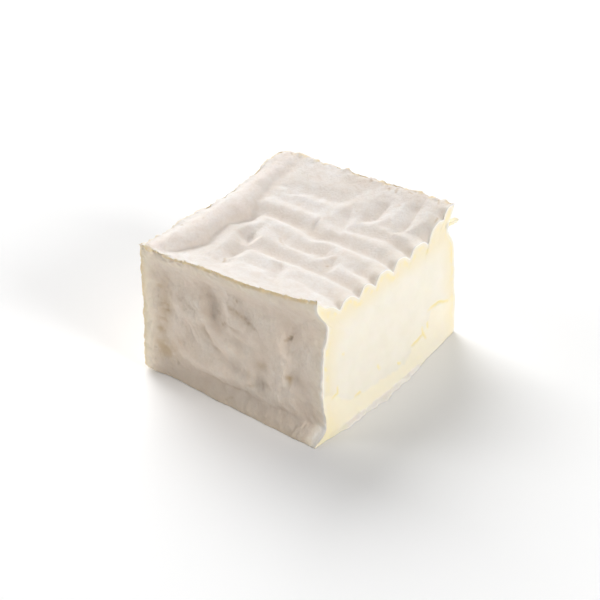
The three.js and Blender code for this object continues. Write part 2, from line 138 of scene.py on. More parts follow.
# Tan pits and scratches of the top, where the bloom is missing.
TOP_PITS = [
    ((30.2, 27.4, 1), (30.5, 25.4, 0.8)),
    ((16.6, 33.2, 0.8), (18, 32.8, 0.6)),
    ((3.4, 33, 0.8), (4, 32.6, 0.6)),
    ((10.4, 32.2, 1), (10.8, 31.4, 0.6)),
    ((12.6, 33.6, 0.9), (13.2, 31.2, 0.6)),
    ((26.6, 33.6, 0.9), (27.6, 31.8, 0.6)),
    ((17.4, 26.8, 0.6), (17.6, 26.5, 0.4)),
    ((7.6, 19.2, 0.8), (7.8, 18.9, 0.6)),
    ((-14.2, 33.8, 0.8), (-13.8, 33.3, 0.5)),
    ((-26.4, 33.8, 0.6), (-25.6, 33.2, 0.5)),
    ((-4.9, 3, 0.5), (-4.5, 2.7, 0.5)),
    ((-4.2, -2.8, 0.5), (-2.6, -4.6, 0.7), (0, -6.3, 0.4)),
    ((-10, -21, 0.6), (-9.2, -22.2, 0.9), (-8.6, -23.6, 0.6)),
    ((15.9, -7.9, 0.8), (16.2, -8.3, 0.6)),
    ((-25.2, -11.3, 0.5), (-24.8, -11.8, 0.4)),
    ((-29, -16.8, 0.6), (-27.4, -17.8, 0.4)),
]
# Hairlines of the top.
HAIR_WIDTH = 0.9
TOP_HAIRS = [
    ((-17.4, 20.2, 0.1), (-19.6, 19.8, 0.5), (-22, 19.2, 0.1)),
    ((-11.4, 18.9, 0.1), (-14, 18.2, 0.5), (-16.4, 17.5, 0.5), (-19, 17.3, 0.2)),
    ((2.6, 4.6, 0.3), (1, 6.8, 0.6), (0.1, 8.6, 0.7), (0, 10.4, 0.6), (0.2, 12.2, 0.2)),
]
# Hollows of the top, and a lump at a corner: X, Y, half sizes, depth.
TOP_DENTS = [
    (-14, -6.4, 3, 3.2, 1.5),
    (22.2, 28, 1.6, 2, 0.6),
    (-1, 31, 5, 3, 0.5),
    (-14, -23.6, 1.1, 0.8, 0.4),
    (-11.4, -23.4, 0.9, 0.7, 0.4),
    (-28.4, -33.2, 1.5, 1.3, -2.4),
]
# Close to the edges the creases and hollows are shallower.
EDGE_CALM = (1, 7)
EDGE_CALM_LEAST = 0.3

# Walls: a panel sunk below the edge, a groove under the lip and one above the foot.
FRONT_PANEL_DEPTH = 2.2
END_PANEL_DEPTH = 1.6
PANEL_TOP = (34, 41)
CORNER_POST = 0.13
END_WAIST = {"height": (24, 24), "spread": (19, 19), "depth": (1.7, 1.7)}
NEAR_CUT = 0.64
LIP_GROOVE = {"height": (33.5, 31.8), "spread": (4.8, 4.4), "depth": (1.2, 3)}
FOOT_GROOVE = {"height": (5.5, 3.6), "spread": (3, 4.4), "depth": (0.2, 1.4)}
FOOT_HEIGHT = (5, 3.2)
FOOT_FLARE = (-0.6, 4.8)
# At the cut the flare turns in again and leaves a toe.
TOE_TURN = 0.7
TOE_TURN_FROM = 0.94
TOE_TURN_HEIGHTS = (0.3, 2)
FOOT_RIDGE = {"height": (10.5, 10.5), "spread": (2.2, 2.2), "depth": (-0.5, 0)}
BACK_NECK = {"height": (36.4, 36.4), "spread": (4.2, 4.2), "depth": (3.5, 3.5)}
BACK_BULGE = {"height": (11, 11), "spread": (14, 14), "depth": (-1.7, -1.7)}

# The base curls up a little at the uncut end.
BASE_LIFT = 1.5
BASE_LIFT_REACH = 4

# Hollows of the front: X, height, half sizes, depth.
FRONT_DENTS = [
    (-8, 28.4, 2.6, 5.4, 1.8),
    (-4.2, 28, 3.2, 4.8, 1.4),
    (4.6, 29.4, 3, 3.4, 1.5),
    (3, 34.6, 2, 1.4, 0.7),
    (2.5, 24.6, 2.6, 1, 0.6),
    (2.2, 21, 4, 1.8, 1),
    (1.6, 12.4, 4, 3, 1.3),
    (11.2, 9.8, 3.4, 2.8, 1.4),
    (11.5, 16.6, 2.6, 2, 0.7),
    (19.4, 28.4, 4, 4.6, 1.3),
    (22.5, 16.4, 3, 2.8, 1),
    (-13, 27.2, 2.4, 2.2, 0.8),
    (-22, 24.6, 2.6, 5, 0.8),
    (-15.5, 17.5, 2.6, 3.4, 0.8),
]
# Folds that stand out of the walls, steep on the left of their run: along the wall, height, rise.
FOLD_BANKS = (1.1, 3)
FOLD_WANDER = 0.5
FOLD_WANDER_PACE = 2.2
FOLD_WANDER_SHIFT = 9
# On the back the folds come again, counted backwards from this X, and on the end closer together.
BACK_FOLDS_FROM = 4
END_FOLDS_SQUEEZE = 0.9
END_FOLDS_SHIFT = 3
WALL_FOLDS = [
    (
        (-10.4, 34.6, 0.5), (-11.2, 32, 1.5), (-11, 28, 1.8), (-8.8, 25, 1.6), (-6.2, 22.6, 1.4),
        (-3.6, 20.2, 1.2), (-1.2, 18.4, 1), (2, 17.2, 0.9), (7, 16.6, 0.4),
    ),
    ((-0.8, 33.4, 0.5), (-1, 30, 1), (0.4, 27.4, 0.8), (4.4, 25.8, 0.8), (9.4, 24.2, 0.3)),
    ((16.6, 30, 0.2), (16.8, 25, 1), (17.6, 22.2, 1), (21, 21.2, 0.3)),
    ((18.6, 19, 0.3), (17.4, 15, 1), (16.2, 11, 1.1), (17.3, 8.6, 0.5)),
    ((7.8, 16.6, 0.3), (7.3, 13, 0.9), (6.2, 9.8, 0.8)),
    ((-23, 28.2, 0.3), (-18, 26.8, 0.7), (-15.5, 24.6, 0.6), (-12.5, 21.6, 0.4), (-10, 17, 0.2)),
]
# The fold above the foot, whose lower side is steep.
FOOT_FOLD_BANKS = (2.2, 3)
FOOT_FOLD = (
    (29, 3, 0.3), (25, 3.9, 0.7), (20, 5.2, 0.9), (15, 6.6, 1), (12, 6.2, 1), (9, 6.6, 1.1), (6, 8.2, 1.1),
    (3, 8.8, 1.2), (0, 8.4, 1.2), (-8, 9.4, 1.3), (-13, 10.8, 1.3), (-15.7, 11.8, 1.3), (-18, 13.4, 1.1),
    (-20, 15.6, 0.9), (-22, 18.5, 0.7), (-25, 21.5, 0.2),
)
# Fine creases of the walls.
CREASE_WIDTH = 0.9
WALL_CREASES = [
    ((-13, 6.4, 0.1), (-4, 5.7, 0.3), (2, 5.2, 0.4), (5, 5.9, 0.3), (9, 4.7, 0.3), (14, 4.9, 0.1)),
    ((-16, 28.8, 0.1), (-13.6, 27, 0.6), (-11, 25.4, 0.1)),
    ((-13.6, 29.6, 0.1), (-12, 28, 0.5), (-10.2, 26.4, 0.1)),
    ((-17.4, 27.8, 0.1), (-16, 26.4, 0.5), (-15, 25.6, 0.1)),
    ((-9.6, 22.4, 0.1), (-7.6, 20, 0.8), (-5.6, 18, 0.2)),
    ((-11, 23, 0.1), (-9.2, 20.6, 0.5), (-7.4, 18.4, 0.1)),
    ((-7, 18.2, 0.1), (-5, 16.2, 0.6), (-3, 14.6, 0.1)),
    ((-14, 22.6, 0.1), (-12.4, 20, 0.5), (-10.6, 17.4, 0.1)),
    ((-12, 22.4, 0.1), (-10.4, 19.6, 0.4), (-9, 17.6, 0.1)),
    ((-18.6, 16.4, 0.1), (-17.4, 14.4, 0.6), (-16.2, 13, 0.1)),
    ((-17.4, 22, 0.1), (-15.8, 20, 0.4), (-14.4, 17.4, 0.1)),
    ((10, 9.6, 0.1), (12.4, 10.4, 0.4), (14.4, 9.4, 0.1)),
    ((-27.6, 36, 0.1), (-25.6, 33.6, 0.5), (-24.6, 31.6, 0.1)),
    ((-27.4, 17.4, 0.3), (-26.2, 17.2, 0.3), (-25, 17.6, 0.1)),
    ((-26.8, 25.6, 0.1), (-25, 24.8, 0.4), (-23.6, 25, 0.1)),
]
# Cracks and pits of the walls, stained where the bloom is missing.
CRACK_WIDTH = 0.5
# The fine creases of the walls get painted shade, at this share of their depth.
CREASE_SHADE = 0.35
WALL_CRACKS = [
    (
        (-3.2, 24.3, 0.3), (-2.5, 24.7, 0.6), (-1.5, 25.5, 0.4), (0.3, 25.5, 0.4), (2.3, 25, 0.4),
        (4.6, 25.3, 0.3),
    ),
    (
        (-0.3, 31.3, 0.2), (0.6, 30.1, 0.4), (2.2, 29.9, 0.4), (4.4, 28.3, 0.3), (6, 27.3, 0.4),
        (9.9, 26.5, 0.2),
    ),
    ((18.6, 26.1, 0.5), (20.4, 27.8, 1)),
    ((2, 33.6, 0.3), (2.2, 33.2, 0.5)),
    ((-0.6, 0.8, 0.2), (0.6, 1.6, 0.3), (2.2, 2.6, 0.3)),
]
# Stains of the walls: along the wall, height, half sizes, strength.
WALL_STAINS = [
    (20.6, 15.7, 1, 0.9, 1),
    (21, 14.2, 0.5, 1.2, 0.6),
    (10.9, 16.2, 1.8, 1.2, 0.5),
    (8, 8.9, 1.4, 0.6, 0.5),
    (7.4, 12, 0.8, 2.2, 0.4),
    (-22.5, 9.5, 4.5, 4, 0.8),
    (-22.4, 26, 2.4, 7, 0.45),
    (-24, 18, 2.4, 8, 0.3),
    (2.2, 29.6, 1.2, 0.6, 0.4),
    (-24.4, 30.2, 1, 0.5, 0.6),
    (-22.6, 24.6, 0.9, 0.5, 0.7),
    (-22, 22.6, 1, 0.4, 0.7),
    (-23.6, 19.4, 0.9, 0.5, 0.6),
    (-22, 18.8, 0.7, 0.4, 0.6),
    (-24.4, 15.8, 1, 0.7, 0.6),
]
# Hollows of the back and of the uncut end: place along the wall, height, half sizes, depth.
BACK_DENTS = [
    (-20, 26, 5, 6, 1),
    (-6, 19, 4, 5, 0.9),
    (7, 29, 5, 4, 1.1),
    (19, 14, 4, 4, 0.8),
]
END_DENTS = [
    (-22, 24, 5, 6, 1),
    (-8, 30, 5, 4, 1.2),
    (5, 17, 6, 4, 1),
    (19, 27, 5, 5, 1.1),
]

# Cut face: it leans out towards the foot, and its soft lower edge has slumped.
CUT_LEAN = 1.1
CUT_SLUMP_OUT = 2.4
CUT_SLUMP_SPREAD = 5
CUT_SLUMP_CENTRE = 0
CUT_SLUMP_HALF = 38

# Crevices that the knife opened in the cut: Y, Z and depth.
CREVICE_REACH = 0.75
CUT_CREVICES = [
    ((-28.5, 11.2, 0.2), (-25.4, 11.3, 0.45), (-25.6, 13.3, 0.3)),
    ((-17.7, 6, 0.2), (-15.2, 6, 0.5)),
    ((12.4, 6.9, 0.3), (14.9, 7.1, 0.5), (18.3, 7.9, 0.3)),
    ((18.1, 10.2, 0.25), (18.6, 8.3, 0.45), (19.6, 6.1, 0.4)),
    ((21.1, 10.3, 0.6), (21.3, 8.8, 0.4)),
    ((20.9, 14.4, 0.1), (23.9, 14.5, 0.5), (27.9, 14.2, 0.6), (29.7, 13.3, 0.5), (32.6, 12.3, 0.3)),
    ((4.5, 5.2, 0.4), (5.1, 4.9, 0.4)),
    ((-5.5, 9.6, 0.3), (-4.7, 8, 0.3)),
    ((-23, 22.6, 0.2), (-22.3, 22.3, 0.3)),
    ((-31.6, 22.6, 0.3), (-31.2, 22, 0.3)),
]
# Ragged skirt of rind that the knife dragged out along the lower edge of the cut.
SKIRT_OUT = 1.7
SKIRT_HEIGHT = 1
SKIRT_CENTRE = -6
SKIRT_HALF = 24
SKIRT_TOP = (0.4, 1)
SKIRT_TATTER = 3
SKIRT_TATTER_PACE = 2.3
SKIRT_TATTER_SHARE = 0.35

# Noise of the grains: how far apart two seeds lie, and how fast its octaves get lower and finer.
GRAIN_SPREAD = (17.3, 5.1, 29.7)
GRAIN_FALL = 1
GRAIN_LACUNARITY = 2

# Axes that a wall runs along.
ALONG_X, ALONG_Y = 0, 1

# Fine relief of the rind and the cut: how high it stands and how far from an edge it reaches.
# A grain is given by the size of its lumps, its octaves and its seed. A grain that runs one way has
# a slope in radians, a long and a short size, octaves and a seed.
VELVET = 0.07
VELVET_GRAIN = (2.4, 4, 1)
LUMPS = 0.3
LUMPS_ON_TOP = 0.3
LUMP_GRAIN = (6, 2, 10)
RAGGED_EDGE = 0.45
RAGGED_REACH = 1.1
RAGGED_GRAIN = (1.7, 3, 2)
RAGGED_CUT_GRAIN = (1.5, 3, 7)
CHIPPED_EDGE = 0.65
CHIPPED_REACH = 1.5
CHIP_GRAIN = (3.5, 2, 9)
CHIPS_AT_FRONT = 0.4
CHIP_FRONT_WIDTH = 4
FIBRE = 0.16
FIBRE_RUN = (-0.8, 7, 2.2, 4, 3)
HAIR_SHARE = 0.6
HAIR_RUN = (-0.6, 3, 1.1, 3, 11)
POST_LINES = 0.15
POST_FADE = (4, 8)
POST_RUN = (1.5, 9, 1.4, 3, 13)
EDGE_CRUMBS = 0.8
EDGE_CRUMB_REACH = 1.5
EDGE_CRUMB_LEVELS = (0.05, 0.45)
EDGE_CRUMB_GRAIN = (1.7, 3, 18)
EDGE_CRUMBS_LEAST = 0.35
EDGE_CRUMBS_FADE = (-8, 6)
END_BUMPS = 1
END_BUMP_REACH = 4
END_BUMP_GRAIN = (6, 2, 19)
BACK_BUMPS = 0.8
BACK_BUMP_REACH = 2
BACK_BUMP_GRAIN = (3.2, 3, 23)
# The patch of the top at the back has fine streaks across the log; the patch also gets painted shade.
BACK_PATCH_FROM_Y = (23, 34)
BACK_PATCH_FROM_X = (-14, -2)
STREAKS = 0.12
STREAK_STRETCH = 6
STREAK_GRAIN = (1.3, 3, 14)
# Smears, crumbs and shreds that the knife left on the cut.
SMEAR = 0.06
SMEAR_RUN = (-0.35, 9, 1.5, 3, 4)
CORE_CRUMBS = 0.5
CORE_CRUMB_REACH = 0.4
CORE_CRUMB_GRAIN = (1.3, 2, 20)
SKIRT_FRAY = 0.5
SKIRT_FRAY_GRAIN = (1, 3, 21)
SKIRT_SHREDS = 0.35
SKIRT_SHRED_GRAIN = (1.5, 3, 5)
SKIRT_RIM = (0.9, 1.3)
SKIRT_SHOWS = (0.1, 0.6)

# Thin curl that the knife left hanging from the back lip.
CURL_LENGTH = 8
CURL_ROOT = 2
CURL_THICK = 1.2
CURL_WIDTH = 2.6
CURL_TAPER = 0.45
CURL_HEIGHT = 38
CURL_DROP = 2.4
CURL_DROP_POWER = 1.5
CURL_BEND = 0.8
CURL_FRAY = 0.25
CURL_GRAIN = (1.4, 3, 8)

# Long unevenness of the whole piece.
LONG_SWELL = 5
SHORT_SWELL = 2.3
SWELL_SKEW = 0.55
SWELL_PHASE = 1
SHORT_SHARE = 0.35
UNEVEN_TOP = 0.12
UNEVEN_WALL = 0.4
UNEVEN_CUT = 0.15
UNEVEN_CUT_PACE = 2
WALL_PHASE = {"front": 20, "back": 50, "end": 70}

# Ripened layer under the rind, by the side that it lies on, and the height where it starts under the top.
RIPE_DEPTH = {"top": 5, "front": 6.5, "back": 6}
RIPE_TOP = 36.5
RIPE_FADE = (0.2, 1.4)
RIPE_LEAST = 0.02
RIPE_BLEND = 3.0
# Lower edge of the chalky core on the cut: Y and Z.
CORE_FOOT = (
    (-36, 15), (-29, 12.6), (-26, 11), (-24.3, 8.6), (-21.3, 6.6), (-16.3, 5.4), (-6.3, 4.9), (3.7, 3.9),
    (6.7, 3.9), (10.7, 5.2), (13.2, 6.7), (17.7, 7.2), (20.7, 9.6), (23.5, 14.5), (28.5, 14.5),
    (32.6, 12.5), (38, 12),
)
CORE_FOOT_RAGGED = 0.5
CORE_FOOT_GRAIN = (1.6, 3, 17)
# The paste below the core is yellower, and painted lighter to stand in for the light that the floor's shadow
# takes from it, less so towards the back. The front corners of the cut are yellower too.
BELOW_CORE = (-0.5, 0.5)
BELOW_CORE_AT_BACK = 0.6
BELOW_CORE_FADE = (10, 24)
YELLOW_CORNERS = ((-33, 39, 4.5), (-33, 1.5, 5))
CREVICE_TINT = 3

# Where the rind's colour changes. The walls' beige starts below the upper edge.
WALL_FROM_EDGE = 1.2
# Painted shade of the walls' hollows starts and is full at these depths.
HOLLOW_SHADE_LEVELS = (-0.6, 2)
# Painted shade, darker in the creases' bottoms, at the bolster's foot and on the patch at the back.
VALLEY_BANK = 0.4
VALLEY_LEVELS = (0, 2.2)
VALLEY_FROM_CUT = 1.2
FOOT_SHADE = 1.3
FOOT_SHADE_AT = 0.2
FOOT_SHADE_HALF = 1.6
BACK_PATCH_SHADE = 1.5
BACK_PATCH_STREAK_SHADE = 0.6
# Painted highlight on the steep banks and along the front edge, white of the bolster with a painted
# highlight, and the pink of the bolster's inner slope with painted light over its shade.
BANK_HIGHLIGHT_SHARES = (1.3, 0.05)
BANK_HIGHLIGHT_LEVELS = (0.1, 1.2)
BOLSTER_WHITE = 0.85
BOLSTER_WHITE_AT = 3
BOLSTER_WHITE_HALF = 4.6
FRONT_HIGHLIGHT = 0.5
FRONT_HIGHLIGHT_REACH = 5
BLUSH = 0.7
BLUSH_AT = -3.5
BLUSH_HALF = 2.8
# Darkness of the cracks and of the pits in the top.
PIT_TINT = 0.8
CRACK_TINT = 1.6
CRACK_TINT_MOST = 0.7
# Painted shade at the foot of the walls, between the uncut end and the toe; its upper edge drops along X.
WALL_FOOT_SHADE_BASE = 3
WALL_FOOT_SHADE_TOP = (11.5, 9)
WALL_FOOT_SHADE_TOP_DROPS = (-20, 0)
WALL_FOOT_SHADE_RAGGED = 2
WALL_FOOT_SHADE_GRAIN = (6, 3, 6)
WALL_FOOT_SHADE_STARTS = (-30, -23)
WALL_FOOT_SHADE_ENDS = (26, 30.5)
# Tan where the bloom has worn off the edges.
WORN_WIDTH = 0.65
WORN_POWER = 4
WORN_FRONT_MORE = 0.5
WORN_FRONT_FROM = (-14, -4)
WORN_TOP = 0.4
WORN_TOP_WIDTH = 0.35
WORN_BACK = (20, 32)
WORN_BACK_MORE = 0.8
WORN_BACK_LEVELS = (-0.1, 0.4)
WORN_BACK_GRAIN = (3, 3, 24)
WORN_BASE = 0.3
WORN_BASE_REACH = 1
WORN_POST = 0.7
WORN_POST_WIDTH = 0.9
# Cream strips of the walls beside an edge: strength, where they fade, how ragged they are and that grain.
# The strip under the upper edge is cream with a painted highlight along the lip.
CREAM_STRIPS = {
    "post": (1, (0.6, 5), 0.8, (2, 2, 12)),
    "cut": (0.5, (0.6, 5.5), 0.8, (2, 2, 15)),
    # Cream with a painted highlight on the lip's band under the upper edge.
    "upper": (0.5, (2, 5), 1.2, (4, 2, 22)),
}
# Painted light on the top beside the cut, in cream.
CREAM_ON_TOP = 0.3
CREAM_ON_TOP_REACH = 4
# Painted light on the toe, and the torn white line around the cut.
TOE_STARTS = (28.5, 31.5)
TOE_ENDS = (2.5, 5.5)
TOE_GRAIN = (2, 2, 16)
TOE_FRAY = 0.75
FRAY = 0.85
FRAY_WIDTH = 0.45
FRAY_FRONT_MORE = 0.35
FRAY_GRAIN = (1.4, 2, 25)

# Patterns of the finishes, with lumps in millimetres, and the levels at which they start and are full.
RIND_CLOUD = {"size": 9, "detail": 3}
WHITE_CLOUD_LEVELS = (0.35, 0.7)
BEIGE_CLOUD_LEVELS = (0.3, 0.7)
STRAND_CLOUD_LEVELS = (0.45, 0.65)
MOTTLE = {"size": 2.5, "detail": 3, "offset": 0.3}
MOTTLE_LEVELS = (0.3, 0.62)
STAIN_LEVELS = (0.2, 0.6)
FLECK = {"size": 0.9, "detail": 2, "offset": 0.7}
FLECK_LEVELS = (0.2, 0.5)
FUZZ = {"size": 0.7, "detail": 4, "roughness": 0.75, "offset": 1.1}
FUZZ_LEVELS = (0.38, 0.62)
RIND_VELVET = {"size": 0.8, "detail": 5, "roughness": 0.7}
STRAND_TURN = (0, 0.8, 0)
STRAND_SCALE = (700, 300, 160)
STRAND_NOISE = {"Scale": 1, "Detail": 4, "Roughness": 0.6}
STRAND_HEIGHT = 1.2
STRAND_CLOUD_HEIGHT = 2.4
RIND_BUMP = {"Strength": 0.8, "Distance": 0.35 * MM}
PASTE_CLOUD = {"size": 6, "detail": 3}
PASTE_CLOUD_LEVELS = (0.3, 0.7)
RIPE_PATCH = {"size": 2.2, "detail": 2, "offset": 0.5}
RIPE_PATCH_LEVELS = (0.42, 0.62)
PASTE_GRAIN = {"size": 1.2, "detail": 4, "roughness": 0.6}
PASTE_BUMP = {"Strength": 0.2, "Distance": 0.2 * MM}
# Depths under the rind at which the yellow patches, the clear line and the white rim of the cut fade.
PATCH_FADE = (1.4, 3.6)
CLEAR_FADE = (0.8, 1.5)
RIM_FADE = (0.25, 0.5)

# Colours, as a pair where a cloud mixes them.
WHITES = ((0.855, 0.795, 0.74), (0.90, 0.86, 0.825))
BEIGES = ((0.87, 0.745, 0.625), (0.92, 0.82, 0.71))
CORE_WHITES = ((0.87, 0.815, 0.69), (0.895, 0.84, 0.725))
# Coats of colour, in the order that they lie over each other: the most that a coat covers, and its colour.
TOP_COATS = {
    # Painted shade of the top's creases, of the bolster's foot and of the patch at the back.
    "painted_top_shade": (0.42, (0.67, 0.55, 0.45)),
    # Painted highlight on the steep banks that face the light.
    "bank_highlight": (0.25, (0.94, 0.91, 0.88)),
    # Thick white bloom on the bolster with a painted highlight, and a painted highlight along the front
    # edge.
    "bloom_and_highlight": (1, (0.95, 0.91, 0.87)),
    # Pink of the bolster's inner slope, painted lighter in place of warm light over its shade.
    "blush_and_painted_light": (1, (0.93, 0.835, 0.77)),
}
RIND_COATS = {
    # Painted shade in the hollows of the walls.
    "hollow_shade": (0.32, (0.62, 0.51, 0.415)),
    # Painted shade at the foot of the walls.
    "foot": (0.42, (0.56, 0.47, 0.385)),
    "mottle": (0.2, (0.68, 0.55, 0.43)),
    "fuzz": (0.16, (0.64, 0.54, 0.45)),
    "stain": (1, (0.62, 0.47, 0.30)),
    # Stain of the cracks and pits, and painted shade in the fine creases of the walls.
    "cracks_and_crease_shade": (1, (0.55, 0.41, 0.26)),
    # Cream beside the edges, with painted light on the toe, the lip and the top beside the cut.
    "cream_and_painted_light": (0.9, (0.97, 0.865, 0.695)),
    # Torn white line around the cut, with painted light on the toe.
    "torn_line_and_toe_light": (1, (0.95, 0.91, 0.86)),
    "worn": (1, (0.89, 0.71, 0.42)),
}
PASTE_COATS = {
    "ripe": (1, (0.875, 0.785, 0.585)),
    "patch": (1, (0.90, 0.79, 0.48)),
    "clear": (1, (0.88, 0.81, 0.66)),
    "rim": (1, (0.95, 0.92, 0.87)),
    # Yellower paste below the core, painted lighter in place of light lost to the floor's shadow.
    "low": (0.7, (0.96, 0.865, 0.65)),
    "corner": (0.7, (0.93, 0.80, 0.50)),
    "crevice": (1, (0.93, 0.795, 0.38)),
    "skirt": (1, (0.97, 0.885, 0.78)),
}
CURL_TINTS = {"depth": 1.2, "ripe": 1}

# How the surfaces take the light.
RIND_SURFACE = {
    "Roughness": 0.92,
    "Specular IOR Level": 0.25,
    "Sheen Weight": 0.1,
    "Sheen Roughness": 0.5,
    "Subsurface Weight": 0.15,
    "Subsurface Scale": 0.8 * MM,
    "Subsurface Radius": (1, 0.75, 0.55),
}
PASTE_SURFACE = {
    "Roughness": 0.6,
    "Specular IOR Level": 0.35,
    "Subsurface Weight": 0.3,
    "Subsurface Scale": 2 * MM,
    "Subsurface Radius": (1, 0.75, 0.4),
}
FLOOR_SURFACE = {"Base Color": (0.97, 0.97, 0.97, 1), "Roughness": 0.9, "Specular IOR Level": 0.1}

# Steps of the mesh along X, Y and Z, closer together near the edges by these shares.
STEPS = (160, 130, 96)
EDGE_CROWDING = (0.35, 0.35, 0.4)
CURL_STEPS = (8, 26, 4)
# Coarser steps that are enough to find the piece's box.
BOX_STEPS = (40, 40, 20)
CURL_BOX_STEPS = (1, 1, 1)
# A place this close to a side of the unit cube lies on that side.
SIDE_MARGIN = 0.0001
# Places of the finishes in the mesh's list, and of a colour mix's sockets in its node.
RIND, PASTE = 0, 1
MIX_SHARE, MIX_BELOW, MIX_ABOVE, MIXED = 0, 6, 7, 2

# Camera of the portrait: turn and height in degrees, the rest in millimetres.
CAMERA_TURN = 35.468
CAMERA_RISE = 31.373
CAMERA_DISTANCE = 487.97
CAMERA_AIM = (0.952, 0, 17.663)
CAMERA_LENS = 100
CAMERA_SENSOR = 36

# Studio, in metres. A softbox has a turn and a height in degrees, a brightness and a size.
SOFTBOXES = {
    "key_softbox": (238, 36, 1.08, 1.6),
    "left_softbox": (-60, 25, 0.2, 0.9),
    "right_softbox": (86, 24, 0.6, 0.9),
}
LIGHT_DISTANCE = 2
LIGHT_AIM = (0, 0, 0.02)
SKY_COLOUR = (1, 1, 1, 1)
SKY_STRENGTH = 0.2
FLOOR_SIZE = 6
FLOOR_DROP = 0.0001


def bell(t):
    return np.exp(-t * t)


def fading(distance, reach):
    return np.exp(-distance / reach)


def ramp(low, high, t):
    share = np.clip((t - low) / (high - low), 0, 1)
    return share * share * (3 - 2 * share)


def mix(a, b, share):
    return a + (b - a) * share


def share_along(x):
    """0 at the uncut end, 1 at the cut."""
    return x / LENGTH + 0.5


def near_cut(x):
    return ramp(NEAR_CUT, 1, share_along(x))


def swell(a, b, wave):
    return np.sin((a + SWELL_SKEW * b) / wave) * np.cos((b - SWELL_SKEW * a) / wave + SWELL_PHASE)


def uneven(a, b):
    return (1 - SHORT_SHARE) * swell(a, b, LONG_SWELL) + SHORT_SHARE * swell(b, a, SHORT_SWELL)


def grain(points, size, octaves, seed):
    """Smooth noise of about -1 to 1 at each point, with lumps of that size."""
    offset = np.array(GRAIN_SPREAD) * (seed + 1)
    places = points / size + offset
    return np.array([noise.fractal(Vector(p), GRAIN_FALL, GRAIN_LACUNARITY, octaves) for p in places])


def running_grain(points, axis, slope, long, short, octaves, seed):
    """Noise on a wall along that axis, in grains that run at a slope, long one way and short the other."""
    along = points[:, axis] * math.cos(slope) + points[:, 2] * math.sin(slope)
    across = points[:, 2] * math.cos(slope) - points[:, axis] * math.sin(slope)
    stretched = np.stack((along / long, across / short, points[:, 1 - axis] / long), axis=1)
    return grain(stretched, 1, octaves, seed)


def ridges(heights):
    """Noise folded over at 0, which turns its zero lines into ridges."""
    return 1 - 2 * np.abs(heights)


def sharp(t):
    """1 on a crease's line and 0 at its bank's foot, with a sharp bottom."""
    return np.maximum(1 - t, 0) ** BANK_POWER


def soft(t):
    """1 on a crease's line and 0 at its bank's foot, with a round bottom."""
    return (1 + 2 * t) * np.maximum(1 - t, 0) ** 2


def along_line(line, along, across, steep, gentle, profile, cross=1, steep_profile=None):
    """Size of a crease or a fold near its line, which falls off faster on the left of the line's run.

    Where the line runs across, its steep side is wider by the factor cross."""
    size = np.zeros_like(along)
    for (from_a, from_b, from_size), (to_a, to_b, to_size) in zip(line, line[1:]):
        run_a, run_b = to_a - from_a, to_b - from_b
        out_a, out_b = along - from_a, across - from_b
        held = np.clip((out_a * run_a + out_b * run_b) / (run_a**2 + run_b**2), 0, 1)
        away = np.hypot(out_a - held * run_a, out_b - held * run_b)
        steep_here = steep * mix(cross, 1, abs(run_a) / math.hypot(run_a, run_b))
        on_left = run_a * out_b > run_b * out_a
        left, right = (steep_profile or profile)(away / steep_here), profile(away / gentle)
        size = np.maximum(size, mix(from_size, to_size, held) * np.where(on_left, left, right))
    return size


def sum_of(lines, along, across, steep, gentle=None, profile=sharp):
    return sum(along_line(line, along, across, steep, gentle or steep, profile) for line in lines)


def dent_depth(dents, along, z):
    depth = np.zeros_like(along)
    for at, height, half_along, half_up, deep in dents:
        depth += deep * bell(np.hypot((along - at) / half_along, (z - height) / half_up))
    return depth


def groove(shape, cut_share, z):
    height = mix(*shape["height"], cut_share)
    spread = mix(*shape["spread"], cut_share)
    return mix(*shape["depth"], cut_share) * bell((z - height) / spread)


def bolster_foot(y):
    """How far from the uncut end the inner foot of the bolster lies."""
    return np.interp(y, *zip(*BOLSTER_FOOT))


def from_bolster(x, y):
    """How far a place of the top lies from the inner foot of the bolster, towards the cut."""
    return x + LENGTH / 2 - bolster_foot(y)


def lip_rise(x, from_front, from_back, from_end):
    """Height of the raised edges above the crests; where two of them meet, the higher one leads."""
    corner_rise = CUT_CORNER_RISE * np.exp((x - LENGTH / 2) / CUT_CORNER_REACH)
    dip = FRONT_DIP * bell((from_end - FRONT_DIP_FROM_END) / FRONT_DIP_REACH)
    front = (FRONT_LIP_RISE + corner_rise) * (1 - dip) * fading(from_front, FRONT_LIP_REACH)
    cut_share = ramp(BACK_LIP_FIN, 1, share_along(x))
    back_reach = mix(*BACK_LIP_REACH, cut_share)
    back = BACK_LIP_RISE * np.exp(-((from_back / back_reach) ** mix(*BACK_LIP_SHARPNESS, cut_share)))
    end_crest = mix(END_LIP_EDGE, 1, ramp(0, END_LIP_CREST, from_end))
    end_slope = np.clip(from_end / bolster_foot(from_front - WIDTH / 2), 0, 1) ** END_LIP_SLOPE
    end = END_LIP_RISE * (end_crest * (1 - end_slope)) * ramp(*BOLSTER_RISE, from_front)
    return (front**LIP_BLEND + back**LIP_BLEND + end**LIP_BLEND) ** (1 / LIP_BLEND)


